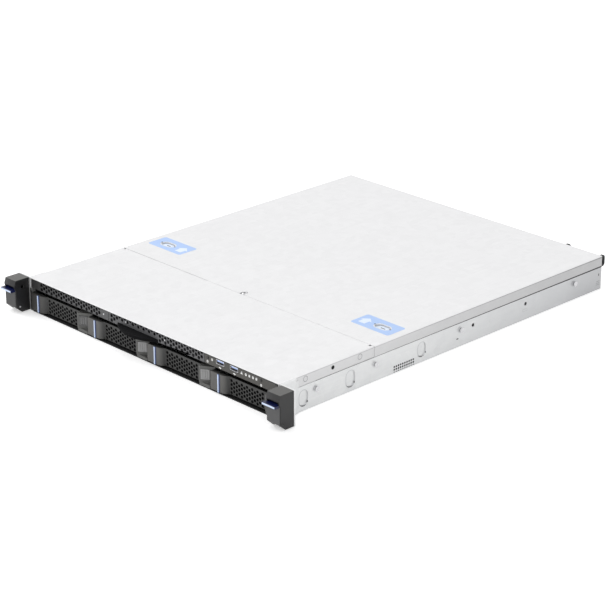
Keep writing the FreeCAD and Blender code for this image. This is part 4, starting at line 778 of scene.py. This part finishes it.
def makeSockets():
    innerSheets, contacts, tongues = [], [], []
    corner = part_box("rear_ports")[0] / mm
    left, low = corner.x, corner.z
    for width, height, tongueShares in rear["sockets"]:
        x, z = left + width / 2, low + height / 2
        inWidth, inHeight = width - 2 * rear["wall"], height - 2 * rear["wall"]
        floor = flatSpot(inWidth, inHeight, rear["floorCorner"], thickness=rear["floorThickness"])
        innerSheet = flatSpot(inWidth, inHeight, rear["liningCorner"], rear["liningWall"], rear["liningDepth"])
        innerSheets.append(layOn(floor, "back", x, rear["floorY"], z))
        innerSheets.append(layOn(innerSheet, "back", x, rear["liningY"], z))
        for share in tongueShares:
            tongue = flatSpot(inWidth - rear["tongueNarrower"], rear["tongueHeight"], rear["tongueCorner"],
                              thickness=rear["tongueDepth"])
            tongues.append(layOn(tongue, "back", x, rear["tongueY"], low + height * share))
        if not tongueShares:
            first = x - rear["contactPitch"] * (rear["contacts"] - 1) / 2
            for step in range(rear["contacts"]):
                contact = flatSpot(rear["contactWidth"], rear["contactHeight"], rear["contactCorner"],
                                   thickness=rear["contactLength"])
                contacts.append(layOn(contact, "back", first + step * rear["contactPitch"],
                                      rear["contactY"], low + height - rear["contactDrop"]))
        left += width + rear["between"]
    finishPiece("portLinings", joinMeshes(innerSheets), shadowGap, "chassis", smooth=False)
    finishPiece("portContacts", joinMeshes(contacts), contactGold, "chassis", smooth=False)
    finishPiece("portTongues", joinMeshes(tongues), materials["button_dark"], "chassis", smooth=False)


def makeRearWall():
    rivets = [layOn(turned(rivetForm), "back", x, rear["wallY"], z) for x, z in rear["rivets"]]
    finishPiece("rearRivets", joinMeshes(rivets), materials["zinc_steel"], "chassis")
    for side in ("left", "right"):
        supply = "power_supply_" + side
        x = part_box(supply)[0].x / mm + rear["lightX"]
        light = layOn(turned(lightDome, 16), "back", x, rear["supplyY"], rear["lightZ"])
        finishPiece("supplyLight_" + side, light, materials["light_clear"], supply)


makeSockets()
makeRearWall()
print("rear done")

# studio: pale floor, soft light, camera

studio = {
    "floorSize": 14.0, "floorGap": 0.0002, "floorColour": "#F2F2F2", "floorRoughness": 0.9,
    "floorSeen": 0.4, "floorMirrored": 0.15, "skyLevel": 0.8,
    "lens": 126.14, "sensor": 36, "clipEnd": 30,
    "eye": (1.7218, -1.6981, 0.9805), "azimuth": 45.83, "elevation": 22.14, "roll": 0.02,
    "lamps": (("overheadSoftbox", (-0.6, 0.5, 2.4), 2.2, 7), ("frontFill", (0.2, -2.4, 1.2), 1.6, 3),
              ("edgeLight", (-1.66, -0.94, 1.61), 1.0, 14), ("sideFill", (1.5, -1.1, 0.5), 1.0, 2.6)),
}


def makeFloor():
    # white paper that glows a little for the camera and less in reflections
    sheet = bmesh.new()
    bmesh.ops.create_grid(sheet, x_segments=1, y_segments=1, size=studio["floorSize"] / 2)
    mesh = bpy.data.meshes.new("floor")
    sheet.to_mesh(mesh)
    sheet.free()
    mesh.transform(Matrix.Translation((0, 0, cadBox[0][2] - studio["floorGap"])))
    floor = bpy.data.objects.new("floor", mesh)
    bpy.context.scene.collection.objects.link(floor)
    paper = bpy.data.materials.new("paperSweep")
    paper.use_nodes = True
    tree = paper.node_tree
    shader = tree.nodes["Principled BSDF"]
    shader.inputs["Base Color"].default_value = toLinear(studio["floorColour"])
    shader.inputs["Roughness"].default_value = studio["floorRoughness"]
    seen = addNode(tree, "ShaderNodeLightPath")
    mirrored = addNode(tree, "ShaderNodeMath", {"operation": "MULTIPLY", 1: studio["floorMirrored"]},
                       {0: seen.outputs["Is Glossy Ray"]})
    glow = addNode(tree, "ShaderNodeMath", {"operation": "MULTIPLY_ADD", 1: studio["floorSeen"]},
                   {0: seen.outputs["Is Camera Ray"], 2: mirrored.outputs["Value"]})
    tree.links.new(glow.outputs["Value"], shader.inputs["Emission Strength"])
    shader.inputs["Emission Color"].default_value = (1, 1, 1, 1)
    mesh.materials.append(paper)


def makeRoom():
    # white to the eye and in mirrors, a little dimmer as a light
    world = bpy.data.worlds.new("softRoom")
    world.use_nodes = True
    bpy.context.scene.world = world
    tree = world.node_tree
    seen = addNode(tree, "ShaderNodeLightPath")
    both = addNode(tree, "ShaderNodeMath", {"operation": "MAXIMUM"},
                   {0: seen.outputs["Is Camera Ray"], 1: seen.outputs["Is Glossy Ray"]})
    clear = addNode(tree, "ShaderNodeMath", {"operation": "MAXIMUM"},
                    {0: both.outputs["Value"], 1: seen.outputs["Is Transmission Ray"]})
    level = addNode(tree, "ShaderNodeMapRange", {"To Min": studio["skyLevel"], "To Max": 1.0},
                    {"Value": clear.outputs["Value"]})
    tree.links.new(level.outputs["Result"], tree.nodes["Background"].inputs["Strength"])
    tree.nodes["Background"].inputs["Color"].default_value = (1, 1, 1, 1)

    for name, place, size, power in studio["lamps"]:
        light = bpy.data.lights.new(name, "AREA")
        light.size = size
        light.energy = power
        lamp = bpy.data.objects.new(name, light)
        lamp.location = place
        lamp.rotation_euler = (-Vector(place)).to_track_quat("-Z", "Y").to_euler()
        bpy.context.scene.collection.objects.link(lamp)


def makeCamera():
    lens = bpy.data.cameras.new("camera")
    lens.lens = studio["lens"]
    lens.sensor_width = studio["sensor"]
    lens.clip_end = studio["clipEnd"]
    camera = bpy.data.objects.new("camera", lens)
    camera.location = studio["eye"]
    camera.rotation_euler = (math.radians(90 - studio["elevation"]), math.radians(studio["roll"]),
                             math.radians(studio["azimuth"]))
    bpy.context.scene.collection.objects.link(camera)
    bpy.context.scene.camera = camera
    bpy.context.scene.view_settings.view_transform = "Standard"


makeFloor()
makeRoom()
makeCamera()
print("studio done")
